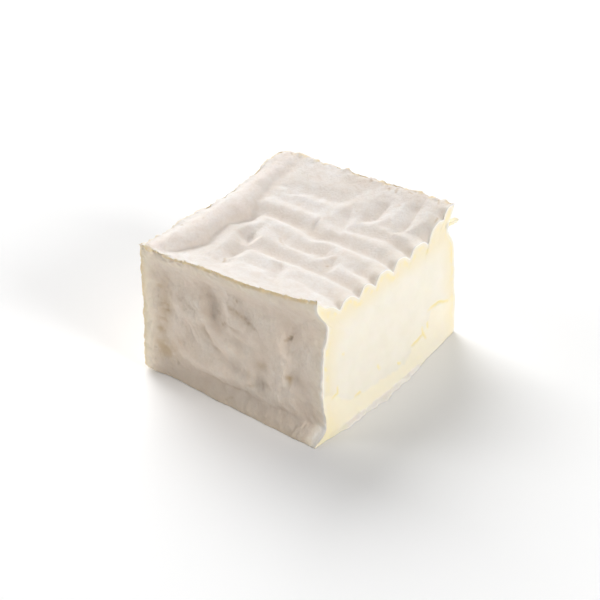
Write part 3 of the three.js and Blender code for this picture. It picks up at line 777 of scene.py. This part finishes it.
def top_drop(x, y, steep_share=1, gentle_share=1):
    """How far the creases and hollows lie below the crests, with banks of those shares of their widths."""
    wander_x = x + CREASE_WANDER * uneven(CREASE_WANDER_PACE * y, x)
    wander_y = y + CREASE_WANDER * uneven(CREASE_WANDER_PACE * x, y)
    turned = ramp(BANK_TURN, 1, share_along(x))
    steep = steep_share * mix(*STEEP_BANK, turned)
    gentle = gentle_share * mix(*GENTLE_BANK, turned)

    def bank(t):
        return mix(soft(t), sharp(t), turned)

    drop = np.zeros_like(x)
    for crease in TOP_CREASES:
        depth = along_line(crease, wander_x, wander_y, steep, gentle, bank, CROSS_BANK, sharp)
        drop = np.maximum(drop, depth)
    drop += dent_depth(TOP_DENTS, x, y) + sum_of(TOP_HAIRS, x, y, HAIR_WIDTH)
    grooved = ramp(*BOLSTER_GROOVE_STARTS, y)
    drop += BOLSTER_GROOVE * grooved * bell(from_bolster(x, y) / BOLSTER_GROOVE_HALF)
    from_edge = np.minimum(WIDTH / 2 - np.abs(y), x + LENGTH / 2)
    return drop * mix(EDGE_CALM_LEAST, 1, ramp(*EDGE_CALM, from_edge))


def top_height(x, y):
    lips = lip_rise(x, y + WIDTH / 2, WIDTH / 2 - y, x + LENGTH / 2)
    return TOP_HEIGHT + lips - top_drop(x, y) + UNEVEN_TOP * uneven(x, y)


def sunk_panel(z):
    return 1 - ramp(*PANEL_TOP, z)


def away_from_post(share):
    return ramp(0, CORNER_POST, share)


def astray(along, z):
    """Places on a wall, moved a little so that its folds and creases don't run straight."""
    far_along, far_up = FOLD_WANDER_PACE * along, FOLD_WANDER_PACE * z
    return (
        along + FOLD_WANDER * uneven(far_up, far_along),
        z + FOLD_WANDER * uneven(far_along, far_up + FOLD_WANDER_SHIFT),
    )


def wall_relief(dents, along, z):
    """How far a wall lies in at its hollows and creases, less what its folds stand out."""
    place = astray(along, z)
    folds = sum_of(WALL_FOLDS, *place, *FOLD_BANKS, bell)
    folds += along_line(FOOT_FOLD, *place, *FOOT_FOLD_BANKS, bell)
    creases = sum_of(WALL_CREASES, *place, CREASE_WIDTH) + sum_of(WALL_CRACKS, *place, CRACK_WIDTH)
    return dent_depth(dents, along, z) - folds + creases


def wall_tint(along, z):
    """How dark the cracks of a wall are, with painted shade in its fine creases."""
    place = astray(along, z)
    creases = sum_of(WALL_CREASES, *place, CREASE_WIDTH)
    return sum_of(WALL_CRACKS, *place, CRACK_WIDTH) + CREASE_SHADE * creases


def back_along(x):
    """Where a fold of the front comes again on the back, the other way round."""
    return BACK_FOLDS_FROM - x


def end_along(y):
    """Where a fold of the front comes again on the uncut end."""
    return END_FOLDS_SQUEEZE * y - END_FOLDS_SHIFT


def front_relief(x, z):
    return wall_relief(FRONT_DENTS, x, z)


def back_relief(x, z):
    return wall_relief(BACK_DENTS, back_along(x), z)


def end_relief(y, z):
    return wall_relief(END_DENTS, end_along(y), z)


def front_wall(x, z):
    share = share_along(x)
    cut_share = near_cut(x)
    above_foot = ramp(0, mix(*FOOT_HEIGHT, cut_share), z)
    sunk = (
        FRONT_PANEL_DEPTH * sunk_panel(z)
        + groove(LIP_GROOVE, cut_share, z)
        + groove(FOOT_GROOVE, cut_share, z) * above_foot
        + groove(FOOT_RIDGE, cut_share, z)
        + front_relief(x, z)
    )
    turn = TOE_TURN * ramp(TOE_TURN_FROM, 1, share) * ramp(*TOE_TURN_HEIGHTS, z)
    flare = mix(*FOOT_FLARE, share) * (1 - above_foot) * (1 - turn)
    in_all = sunk * away_from_post(share)
    return WIDTH / 2 + flare - in_all + UNEVEN_WALL * uneven(x, z + WALL_PHASE["front"])


def back_wall(x, z):
    sunk = groove(BACK_NECK, 1, z) + groove(BACK_BULGE, 1, z) + back_relief(x, z)
    in_all = sunk * away_from_post(share_along(x))
    return WIDTH / 2 - in_all + UNEVEN_WALL * uneven(x, z + WALL_PHASE["back"])


def end_wall(y, z):
    from_post = np.minimum(y / WIDTH + 0.5, 0.5 - y / WIDTH)
    sunk = (
        END_PANEL_DEPTH * sunk_panel(z)
        + groove(LIP_GROOVE, 0, z)
        + groove(FOOT_GROOVE, 0, z)
        + end_relief(y, z)
    )
    in_all = sunk * away_from_post(from_post) + groove(END_WAIST, 0, z)
    return LENGTH / 2 - in_all + UNEVEN_WALL * uneven(y, z + WALL_PHASE["end"])


def skirt_reach(y):
    """How far the dragged rind stands out along the foot of the cut."""
    whole = np.maximum(1 - ((y - SKIRT_CENTRE) / SKIRT_HALF) ** 2, 0)
    waves = np.sin(y / SKIRT_TATTER) * np.cos(SKIRT_TATTER_PACE * y / SKIRT_TATTER + SWELL_PHASE)
    return SKIRT_OUT * whole * (1 - SKIRT_TATTER_SHARE + SKIRT_TATTER_SHARE * waves)


def cut_wall(y, z):
    lean = CUT_LEAN * (1 - z / TOP_HEIGHT)
    across = np.maximum(1 - ((y - CUT_SLUMP_CENTRE) / CUT_SLUMP_HALF) ** 2, 0)
    slump = CUT_SLUMP_OUT * bell(z / CUT_SLUMP_SPREAD) * across
    skirt = skirt_reach(y) * (1 - ramp(*SKIRT_TOP, z / SKIRT_HEIGHT))
    unevenness = UNEVEN_CUT * uneven(UNEVEN_CUT_PACE * y, UNEVEN_CUT_PACE * z)
    return LENGTH / 2 + lean + slump + skirt + unevenness


def crowd(share, amount):
    return share - amount * np.sin(2 * math.pi * share) / (2 * math.pi)


def round_end_corners(points):
    """Turns a square of the plan at each upright corner of the uncut end into a quarter disc."""
    x, y = points[:, 0], points[:, 1]
    out_x = np.maximum(CORNER_RADIUS - LENGTH / 2 - x, 0) / CORNER_RADIUS
    out_y = np.maximum(np.abs(y) - WIDTH / 2 + CORNER_RADIUS, 0) / CORNER_RADIUS
    points[:, 0] += CORNER_RADIUS * out_x * (1 - np.sqrt(np.maximum(1 - out_y**2 / 2, 0.5)))
    points[:, 1] -= CORNER_RADIUS * out_y * (1 - np.sqrt(np.maximum(1 - out_x**2 / 2, 0.5))) * np.sign(y)


def place_on_cheese(share):
    """Places for points of a unit cube, given as shares of each side."""
    x = LENGTH * (share[:, 0] - 0.5)
    y = WIDTH * (share[:, 1] - 0.5)
    level = EDGE_HEIGHT * share[:, 2]
    base = BASE_LIFT * bell((x + LENGTH / 2) / BASE_LIFT_REACH)
    points = np.stack(
        (
            mix(-end_wall(y, level), cut_wall(y, level), share[:, 0]),
            mix(-front_wall(x, level), back_wall(x, level), share[:, 1]),
            mix(base, top_height(x, y), share[:, 2]),
        ),
        axis=1,
    )
    round_end_corners(points)
    return points


def place_on_curl(cube):
    """Places on the curl, which thins and droops towards its tip."""
    share = cube[:, 1] + 0.5
    taper = 1 - CURL_TAPER * share
    root = float(back_wall(np.array(LENGTH / 2), np.array(CURL_HEIGHT))) - CURL_ROOT
    x = LENGTH / 2 - CURL_WIDTH / 2 + cube[:, 0] * CURL_WIDTH * taper - CURL_BEND * share**2
    y = root + (CURL_LENGTH + CURL_ROOT) * share
    z = CURL_HEIGHT + cube[:, 2] * CURL_THICK * taper - CURL_DROP * share**CURL_DROP_POWER
    return np.stack((x, y, z), axis=1)


def divided_cube(steps):
    """A unit cube in a new bmesh, each side cut into that many steps."""
    bm = bmesh.new()
    bmesh.ops.create_cube(bm, size=1)
    for axis, count in enumerate(steps):
        runs = [e for e in bm.edges if abs(e.verts[0].co[axis] - e.verts[1].co[axis]) > 0.5]
        bmesh.ops.subdivide_edges(bm, edges=runs, cuts=count - 1, use_grid_fill=True)
    return bm


def corners(bm):
    return np.array([v.co[:] for v in bm.verts])


def move_corners(bm, points):
    for vert, point in zip(bm.verts, points):
        vert.co = Vector(point)


class Wire:
    """A shader socket that takes part in Python expressions, which add Math nodes to its finish."""

    def __init__(self, finish, socket):
        self.finish = finish
        self.socket = socket

    def maths(self, operation, *values):
        return self.finish.add("ShaderNodeMath", {"operation": operation}, dict(enumerate(values)))

    def __add__(self, other):
        return self.maths("ADD", self, other)

    __radd__ = __add__

    def __rsub__(self, other):
        return self.maths("SUBTRACT", other, self)

    def __mul__(self, other):
        return self.maths("MULTIPLY", self, other)

    __rmul__ = __mul__

    def rising(self, low, high):
        """0 below low, 1 above high, smooth between."""
        settings = {"interpolation_type": "SMOOTHSTEP"}
        sockets = {"Value": self, "From Min": low, "From Max": high}
        return self.finish.add("ShaderNodeMapRange", settings, sockets)


class Finish:
    """A material made of nodes."""

    def __init__(self, name):
        self.material = bpy.data.materials.new(name)
        self.material.use_nodes = True
        self.tree = self.material.node_tree
        self.shader = self.tree.nodes["Principled BSDF"]
        self.place = self.add("ShaderNodeTexCoord", output="Object")

    def add(self, kind, settings=None, sockets=None, output=0):
        node = self.tree.nodes.new(kind)
        for name, value in (settings or {}).items():
            setattr(node, name, value)
        for name, value in (sockets or {}).items():
            self.join(node.inputs[name], value)
        return Wire(self, node.outputs[output])

    def join(self, socket, value):
        if isinstance(value, Wire):
            self.tree.links.new(value.socket, socket)
        else:
            socket.default_value = value

    def surface(self, sockets):
        for name, value in sockets.items():
            self.join(self.shader.inputs[name], value)

    def painted(self, name):
        """A value stored on the mesh."""
        return self.add("ShaderNodeAttribute", {"attribute_name": name}, output="Fac")

    def speckle(self, size, detail, roughness=0.5, offset=0):
        """Noise with lumps of that size in millimetres, about 0 to 1."""
        shift = (offset, offset, offset)
        moved = self.add("ShaderNodeVectorMath", {"operation": "ADD"}, {0: self.place, 1: shift})
        sockets = {"Vector": moved, "Scale": 1 / (size * MM), "Detail": detail, "Roughness": roughness}
        return self.add("ShaderNodeTexNoise", None, sockets)

    def blend(self, share, below, above):
        """A colour between two others."""
        sockets = {MIX_SHARE: share, MIX_BELOW: below, MIX_ABOVE: above}
        return self.add("ShaderNodeMix", {"data_type": "RGBA"}, sockets, output=MIXED)

    def coat(self, tone, coats, masks):
        """Lays coats over a colour, each where its mask is; a coat without one reads the mesh's value."""
        for name, (most, over) in coats.items():
            mask = masks[name] if name in masks else self.painted(name)
            tone = self.blend(mask * most, tone, colour(over))
        return tone

    def clouded(self, cloud, levels, tones):
        """Two colours, mixed by a cloud."""
        return self.blend(cloud.rising(*levels), *(colour(tone) for tone in tones))


def colour(tone):
    return (*tone, 1)


def make_rind():
    rind = Finish("bloomy_rind")
    cloud = rind.speckle(**RIND_CLOUD)
    mottle = rind.speckle(**MOTTLE)
    fleck = rind.speckle(**FLECK)
    fuzz = rind.speckle(**FUZZ)
    wall = rind.painted("wall")
    masks = {
        "mottle": 1 - mottle.rising(*MOTTLE_LEVELS),
        "fuzz": 1 - fuzz.rising(*FUZZ_LEVELS),
        "stain": rind.painted("stain") * mottle.rising(*STAIN_LEVELS),
        "worn": rind.painted("worn") * fleck.rising(*FLECK_LEVELS),
    }
    # The top's coats paint shade in its creases and highlights on its banks, bolster and front edge.
    white = rind.coat(rind.clouded(cloud, WHITE_CLOUD_LEVELS, WHITES), TOP_COATS, masks)
    beige = rind.clouded(cloud, BEIGE_CLOUD_LEVELS, BEIGES)
    # Over the walls' beige: painted shade in the hollows, creases and at the foot, and painted light on the
    # lip, the toe and beside the cut.
    tone = rind.coat(rind.blend(wall, white, beige), RIND_COATS, masks)

    turned = {"Vector": rind.place, "Rotation": STRAND_TURN, "Scale": STRAND_SCALE}
    slant = rind.add("ShaderNodeMapping", None, turned)
    strands = rind.add("ShaderNodeTexNoise", None, {"Vector": slant, **STRAND_NOISE})
    strand_height = STRAND_HEIGHT + cloud.rising(*STRAND_CLOUD_LEVELS) * STRAND_CLOUD_HEIGHT
    height = rind.speckle(**RIND_VELVET) + strands * wall * strand_height
    bump = rind.add("ShaderNodeBump", None, {"Height": height, **RIND_BUMP})
    rind.surface({"Base Color": tone, "Normal": bump, **RIND_SURFACE})
    return rind.material


def make_paste():
    paste = Finish("ripened_paste")
    depth = paste.painted("depth")
    patches = paste.speckle(**RIPE_PATCH).rising(*RIPE_PATCH_LEVELS)
    masks = {
        "patch": (1 - depth.rising(*PATCH_FADE)) * patches,
        "clear": 1 - depth.rising(*CLEAR_FADE),
        "rim": 1 - depth.rising(*RIM_FADE),
    }
    core = paste.clouded(paste.speckle(**PASTE_CLOUD), PASTE_CLOUD_LEVELS, CORE_WHITES)
    tone = paste.coat(core, PASTE_COATS, masks)
    bump = paste.add("ShaderNodeBump", None, {"Height": paste.speckle(**PASTE_GRAIN), **PASTE_BUMP})
    paste.surface({"Base Color": tone, "Normal": bump, **PASTE_SURFACE})
    return paste.material


def nearest(points, others):
    """Distance from each point to the closest of the others."""
    tree = kdtree.KDTree(len(others))
    for index, other in enumerate(others):
        tree.insert(other, index)
    tree.balance()
    return np.array([tree.find(point)[2] for point in points])


class Skin:
    """The mesh's corners on the smooth cheese, the sides that they lie on and how far its edges are."""

    def __init__(self, share):
        self.end, self.front, self.base = (share[:, axis] < SIDE_MARGIN for axis in range(3))
        self.cut, self.back, self.top = (share[:, axis] > 1 - SIDE_MARGIN for axis in range(3))
        self.form = place_on_cheese(share)
        self.x, self.y, self.z = self.form.T
        self.level = EDGE_HEIGHT * share[:, 2]
        self.edge = self.edge_distances()
        self.wall = np.where(self.top, 0, ramp(0, WALL_FROM_EDGE, self.edge["upper"]))
        self.back_patch = self.top * ramp(*BACK_PATCH_FROM_Y, self.y) * ramp(*BACK_PATCH_FROM_X, self.x)
        across = np.stack((self.x, self.y / STREAK_STRETCH, self.z / STREAK_STRETCH), axis=1)
        self.streaks = ridges(grain(across, *STREAK_GRAIN))

    def edge_distances(self):
        """How far each corner of the mesh is from each of the edges."""
        front_or_back = self.front | self.back
        side = front_or_back | self.end
        edges = {
            "upper": self.top & side,
            "upper front": self.top & self.front,
            "upper end": self.top & self.end,
            "upper back": self.top & self.back,
            "lower": self.base & side,
            "post": self.end & front_or_back,
            "cut": self.cut & (self.top | front_or_back),
            "cut side": self.cut & front_or_back,
        }
        return {name: nearest(self.form, self.form[on_edge]) for name, on_edge in edges.items()}

    def grain(self, size, octaves, seed):
        return grain(self.form, size, octaves, seed)

    def running_grain(self, axis, *run):
        return running_grain(self.form, axis, *run)

    def by_edge(self, name, reach):
        """1 at an edge, fading with the distance from it."""
        return fading(self.edge[name], reach)


def ripeness(skin):
    """1 in the yellow layer under the rind, falling to 0 in the chalky core."""
    at_cut = np.full(len(skin.form), LENGTH / 2)
    depths = (
        (RIPE_TOP - skin.z) / RIPE_DEPTH["top"],
        (skin.y + front_wall(at_cut, skin.level)) / RIPE_DEPTH["front"],
        (back_wall(at_cut, skin.level) - skin.y) / RIPE_DEPTH["back"],
    )
    nearness = sum(np.maximum(depth, RIPE_LEAST) ** -RIPE_BLEND for depth in depths)
    return 1 - ramp(*RIPE_FADE, nearness ** (-1 / RIPE_BLEND))


def cut_marks(skin):
    """Depth of the cut's crevices, height above the core's foot, and share of the skirt."""
    crevice = sum_of(CUT_CREVICES, skin.y, skin.z, CREVICE_REACH) * skin.cut
    core_foot = np.interp(skin.y, *zip(*CORE_FOOT))
    above_core = skin.z - core_foot + CORE_FOOT_RAGGED * skin.grain(*CORE_FOOT_GRAIN)
    shreds = SKIRT_SHREDS * skin.grain(*SKIRT_SHRED_GRAIN)
    below_rim = 1 - ramp(*SKIRT_RIM, skin.z / SKIRT_HEIGHT + shreds)
    skirt = skin.cut * below_rim * ramp(*SKIRT_SHOWS, skirt_reach(skin.y))
    return crevice, above_core, skirt


def cut_relief(skin, crevice, above_core, skirt):
    """How far the cut stands out of its smooth form."""
    smears = skin.running_grain(ALONG_Y, *SMEAR_RUN)
    crumbs = skin.cut * bell(above_core / CORE_CRUMB_REACH) * np.maximum(skin.grain(*CORE_CRUMB_GRAIN), 0)
    ragged_skirt = SKIRT_FRAY * skirt * skin.grain(*SKIRT_FRAY_GRAIN)
    return SMEAR * smears - crevice + CORE_CRUMBS * crumbs + ragged_skirt


def rind_relief(skin):
    """How far the rind stands out of its smooth form."""
    relief = VELVET * skin.grain(*VELVET_GRAIN)
    relief += LUMPS * skin.grain(*LUMP_GRAIN) * np.where(skin.top, LUMPS_ON_TOP, 1)
    relief += RAGGED_EDGE * skin.grain(*RAGGED_GRAIN) * skin.by_edge("upper", RAGGED_REACH)
    behind_front = skin.y > -WIDTH / 2 + CHIP_FRONT_WIDTH
    chips = np.maximum(skin.grain(*CHIP_GRAIN), 0) * np.where(behind_front, 1, CHIPS_AT_FRONT)
    relief -= CHIPPED_EDGE * chips * skin.by_edge("upper", CHIPPED_REACH)
    relief += STREAKS * skin.streaks * skin.back_patch
    fibres = ridges(skin.running_grain(ALONG_X, *FIBRE_RUN))
    hairs = ridges(skin.running_grain(ALONG_X, *HAIR_RUN))
    relief += FIBRE * (fibres + HAIR_SHARE * hairs) * skin.wall
    posts = ridges(skin.running_grain(ALONG_X, *POST_RUN))
    relief += POST_LINES * posts * skin.wall * (1 - ramp(*POST_FADE, skin.edge["post"]))
    relief += RAGGED_EDGE * skin.grain(*RAGGED_CUT_GRAIN) * skin.by_edge("cut side", RAGGED_REACH)
    torn = skin.by_edge("upper front", EDGE_CRUMB_REACH)
    torn *= mix(1, EDGE_CRUMBS_LEAST, ramp(*EDGE_CRUMBS_FADE, skin.x))
    relief += EDGE_CRUMBS * torn * ramp(*EDGE_CRUMB_LEVELS, skin.grain(*EDGE_CRUMB_GRAIN))
    relief += END_BUMPS * skin.grain(*END_BUMP_GRAIN) * skin.by_edge("upper end", END_BUMP_REACH)
    relief += BACK_BUMPS * skin.grain(*BACK_BUMP_GRAIN) * skin.by_edge("upper back", BACK_BUMP_REACH)
    return relief


def paste_tints(skin, crevice, above_core, skirt):
    """Values that the paste's finish reads: the depth under the rind, and shares from 0 to 1."""
    # Below the core the paste is yellower and painted lighter where the floor's shadow darkens it.
    low = 1 - ramp(*BELOW_CORE, above_core)
    corner = sum(bell(np.hypot(skin.y - y, skin.z - z) / reach) for y, z, reach in YELLOW_CORNERS)
    return {
        "depth": skin.edge["cut"],
        "ripe": ripeness(skin),
        "low": low * mix(1, BELOW_CORE_AT_BACK, ramp(*BELOW_CORE_FADE, skin.y)),
        "corner": corner,
        "crevice": np.clip(crevice * CREVICE_TINT, 0, 1),
        "skirt": skirt,
    }


def top_tints(skin):
    """Shares of the colours that lie on the top alone: painted shade in its hollows, painted highlights on
    its banks and front edge, and the bolster's white and pink with painted light.
    """
    x, y = skin.x, skin.y
    from_foot = from_bolster(x, y)
    # Painted shade: darker in the creases, at the bolster's foot and on the patch at the back, fading at the
    # cut.
    painted_top_shade = top_drop(x, y, VALLEY_BANK) + FOOT_SHADE * bell((from_foot - FOOT_SHADE_AT) / FOOT_SHADE_HALF)
    painted_top_shade += skin.back_patch * (BACK_PATCH_SHADE - BACK_PATCH_STREAK_SHADE * skin.streaks)
    # Thick white bloom on the bolster with a painted highlight, and a painted highlight along the front
    # edge.
    bloom_and_highlight = BOLSTER_WHITE * bell((x + LENGTH / 2 - BOLSTER_WHITE_AT) / BOLSTER_WHITE_HALF)
    bloom_and_highlight += FRONT_HIGHLIGHT * fading(y + WIDTH / 2, FRONT_HIGHLIGHT_REACH)
    tints = {
        "painted_top_shade": ramp(*VALLEY_LEVELS, painted_top_shade) * ramp(0, VALLEY_FROM_CUT, skin.edge["cut"]),
        # Painted highlight on the steep banks that face the light.
        "bank_highlight": ramp(*BANK_HIGHLIGHT_LEVELS, top_drop(x, y, *BANK_HIGHLIGHT_SHARES)),
        "bloom_and_highlight": bloom_and_highlight,
        # Pink of the bolster's inner slope, painted lighter in place of warm light over its shade.
        "blush_and_painted_light": BLUSH * bell((from_foot - BLUSH_AT) / BLUSH_HALF),
    }
    return {name: skin.top * tint for name, tint in tints.items()}


def marks_of_rind(skin):
    """Shares of the painted shade in the hollows, of the cracks with painted shade in the fine creases, and
    of the stains of the rind.
    """
    hollow_shade, cracks_and_crease_shade, stain = np.zeros((3, len(skin.form)))
    cracks_and_crease_shade[skin.top] = PIT_TINT * sum_of(TOP_PITS, skin.x[skin.top], skin.y[skin.top], CRACK_WIDTH)
    walls = (
        (skin.front, skin.x, front_relief(skin.x, skin.level)),
        (skin.back, back_along(skin.x), back_relief(skin.x, skin.level)),
        (skin.end, end_along(skin.y), end_relief(skin.y, skin.level)),
    )
    for on_wall, along, depth_in in walls:
        hollow_shade[on_wall] = depth_in[on_wall]
        cracks_and_crease_shade[on_wall] = wall_tint(along[on_wall], skin.level[on_wall])
        stain[on_wall] = dent_depth(WALL_STAINS, along[on_wall], skin.level[on_wall])
    return {
        "hollow_shade": np.where(skin.top, 0, ramp(*HOLLOW_SHADE_LEVELS, hollow_shade)),
        "cracks_and_crease_shade": np.clip(cracks_and_crease_shade * CRACK_TINT, 0, CRACK_TINT_MOST),
        "stain": stain,
    }


def shade_at_wall_foot(skin):
    """Share of the painted shade at the foot of the walls."""
    upper = mix(*WALL_FOOT_SHADE_TOP, ramp(*WALL_FOOT_SHADE_TOP_DROPS, skin.x))
    height = skin.z + WALL_FOOT_SHADE_RAGGED * skin.grain(*WALL_FOOT_SHADE_GRAIN)
    along = (1 - ramp(*WALL_FOOT_SHADE_ENDS, skin.x)) * ramp(*WALL_FOOT_SHADE_STARTS, skin.x)
    return np.where(skin.top, 0, (1 - ramp(WALL_FOOT_SHADE_BASE, upper, height)) * along)


def worn_edges(skin):
    """Share of the tan that shows where the bloom has worn off."""
    upper = skin.edge["upper"]
    at_back = ramp(*WORN_BACK, skin.y) * ramp(*WORN_BACK_LEVELS, skin.grain(*WORN_BACK_GRAIN))
    on_top = mix(WORN_TOP, 1, at_back) * bell(upper / (WORN_TOP_WIDTH + WORN_BACK_MORE * at_back))
    width = WORN_WIDTH + WORN_FRONT_MORE * skin.front * ramp(*WORN_FRONT_FROM, skin.x)
    on_wall = np.exp(-((upper / width) ** WORN_POWER))
    on_wall += WORN_POST * bell(skin.edge["post"] / WORN_POST_WIDTH)
    return np.where(skin.top, on_top, on_wall) + WORN_BASE * skin.by_edge("lower", WORN_BASE_REACH)


def pale_edges(skin):
    """Shares of the cream beside the edges, with painted light on the toe, the lip and the top beside the
    cut, and of the torn white line around the cut with the toe's painted light.
    """
    # Painted light on the toe, which faces away from the lamps.
    toe_light = skin.front * ramp(*TOE_STARTS, skin.x + skin.grain(*TOE_GRAIN)) * (1 - ramp(*TOE_ENDS, skin.z))
    cream_and_painted_light = toe_light
    for name, (strength, fade, ragged, ragged_grain) in CREAM_STRIPS.items():
        cream_and_painted_light = cream_and_painted_light + strength * (1 - ramp(*fade, skin.edge[name] + ragged * skin.grain(*ragged_grain)))
    on_top = CREAM_ON_TOP * skin.by_edge("cut", CREAM_ON_TOP_REACH)
    cream_and_painted_light = np.where(skin.top, on_top, np.minimum(cream_and_painted_light, 1))
    fray_width = FRAY_WIDTH + FRAY_FRONT_MORE * skin.front * (1 + skin.grain(*FRAY_GRAIN))
    torn_line_and_toe_light = FRAY * bell(skin.edge["cut"] / fray_width) + TOE_FRAY * toe_light
    return {"cream_and_painted_light": np.where(skin.cut, 0, cream_and_painted_light), "torn_line_and_toe_light": np.where(skin.cut, 0, torn_line_and_toe_light)}


def shape_cheese(bm):
    """Moves a divided cube onto the cheese, and returns the values that its finishes read."""
    cube = corners(bm)
    share = np.stack([crowd(cube[:, axis] + 0.5, EDGE_CROWDING[axis]) for axis in range(3)], axis=1)
    skin = Skin(share)
    move_corners(bm, skin.form)
    bm.normal_update()
    normals = np.array([v.normal[:] for v in bm.verts])

    marks = cut_marks(skin)
    relief = np.where(skin.cut, cut_relief(skin, *marks), rind_relief(skin))
    points = skin.form + normals * relief[:, None]
    points[:, 2] = np.where(skin.base, skin.z, np.maximum(points[:, 2], 0))
    move_corners(bm, points)
    return {
        **paste_tints(skin, *marks),
        **top_tints(skin),
        **marks_of_rind(skin),
        **pale_edges(skin),
        "wall": skin.wall,
        "foot": shade_at_wall_foot(skin),
        "worn": worn_edges(skin),
    }


def middle_of_box():
    """Middle of the piece's box in the plan, from which the frame is measured."""
    cube = divided_cube(BOX_STEPS)
    curl = divided_cube(CURL_BOX_STEPS)
    places = np.concatenate((place_on_cheese(corners(cube) + 0.5), place_on_curl(corners(curl))))
    cube.free()
    curl.free()
    middle = (places.min(axis=0) + places.max(axis=0)) / 2
    middle[2] = 0
    return middle


def add_curl(bm, values):
    """Adds the curl to the cheese's mesh, with paste values of its own."""
    curl = divided_cube(CURL_STEPS)
    places = place_on_curl(corners(curl))
    places[:, 2] += CURL_FRAY * grain(places, *CURL_GRAIN)
    move_corners(curl, places)
    for face in curl.faces:
        face.material_index = PASTE
        face.smooth = True
    spare = bpy.data.meshes.new("curl")
    curl.to_mesh(spare)
    curl.free()
    bm.from_mesh(spare)
    bpy.data.meshes.remove(spare)
    for name, numbers in values.items():
        values[name] = np.append(numbers, np.full(len(places), CURL_TINTS.get(name, 0)))


def store(mesh, name, values):
    mesh.attributes.new(name, "FLOAT", "POINT").data.foreach_set("value", values.astype(np.float32))


def make_cheese():
    """Makes the piece, and returns the place in the forms that lies at the frame's origin."""
    bm = divided_cube(STEPS)
    for face in bm.faces:
        face.material_index = PASTE if face.calc_center_median().x > 0.5 - SIDE_MARGIN else RIND
        face.smooth = True
    values = shape_cheese(bm)
    middle = middle_of_box()
    add_curl(bm, values)
    bmesh.ops.translate(bm, verts=bm.verts, vec=-Vector(middle))
    bmesh.ops.scale(bm, verts=bm.verts, vec=(MM, MM, MM))
    mesh = bpy.data.meshes.new("cheese_with_rind")
    bm.to_mesh(mesh)
    bm.free()
    for name, numbers in values.items():
        store(mesh, name, numbers)
    mesh.materials.append(make_rind())
    mesh.materials.append(make_paste())
    piece = bpy.data.objects.new("cheese_with_rind", mesh)
    bpy.context.scene.collection.objects.link(piece)
    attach(piece, "root")
    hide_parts("goat_cheese_piece")
    return middle


def direction(turn, rise):
    """Unit vector from the object towards a place seen at that turn and height."""
    turn, rise = math.radians(turn), math.radians(rise)
    return Vector((math.sin(turn) * math.cos(rise), -math.cos(turn) * math.cos(rise), math.sin(rise)))


def aim_at(thing, place, target):
    thing.location = place
    thing.rotation_euler = (target - place).to_track_quat("-Z", "Y").to_euler()


def make_camera(middle):
    data = bpy.data.cameras.new("portrait")
    data.lens = CAMERA_LENS
    data.sensor_width = CAMERA_SENSOR
    camera = bpy.data.objects.new("portrait", data)
    bpy.context.scene.collection.objects.link(camera)
    target = (Vector(CAMERA_AIM) - Vector(middle)) * MM
    aim_at(camera, target + direction(CAMERA_TURN, CAMERA_RISE) * CAMERA_DISTANCE * MM, target)
    bpy.context.scene.camera = camera


def make_floor():
    bm = bmesh.new()
    bmesh.ops.create_grid(bm, x_segments=1, y_segments=1, size=FLOOR_SIZE / 2)
    mesh = bpy.data.meshes.new("floor")
    bm.to_mesh(mesh)
    bm.free()
    finish = Finish("pale_floor")
    finish.surface(FLOOR_SURFACE)
    mesh.materials.append(finish.material)
    floor = bpy.data.objects.new("floor", mesh)
    floor.location.z = -FLOOR_DROP
    bpy.context.scene.collection.objects.link(floor)


def make_light(name, turn, rise, brightness, size):
    """A round softbox; brightness 1 lights a surface that faces it as a white sky does."""
    data = bpy.data.lights.new(name, "AREA")
    data.shape = "DISK"
    data.size = size
    data.energy = brightness * (math.pi * LIGHT_DISTANCE) ** 2
    light = bpy.data.objects.new(name, data)
    bpy.context.scene.collection.objects.link(light)
    target = Vector(LIGHT_AIM)
    aim_at(light, target + direction(turn, rise) * LIGHT_DISTANCE, target)


def make_studio():
    world = bpy.data.worlds.new("studio")
    world.use_nodes = True
    background = world.node_tree.nodes["Background"]
    background.inputs["Color"].default_value = SKY_COLOUR
    background.inputs["Strength"].default_value = SKY_STRENGTH
    bpy.context.scene.world = world
    for name, softbox in SOFTBOXES.items():
        make_light(name, *softbox)
    bpy.context.scene.view_settings.view_transform = "Standard"


make_camera(make_cheese())
make_floor()
make_studio()
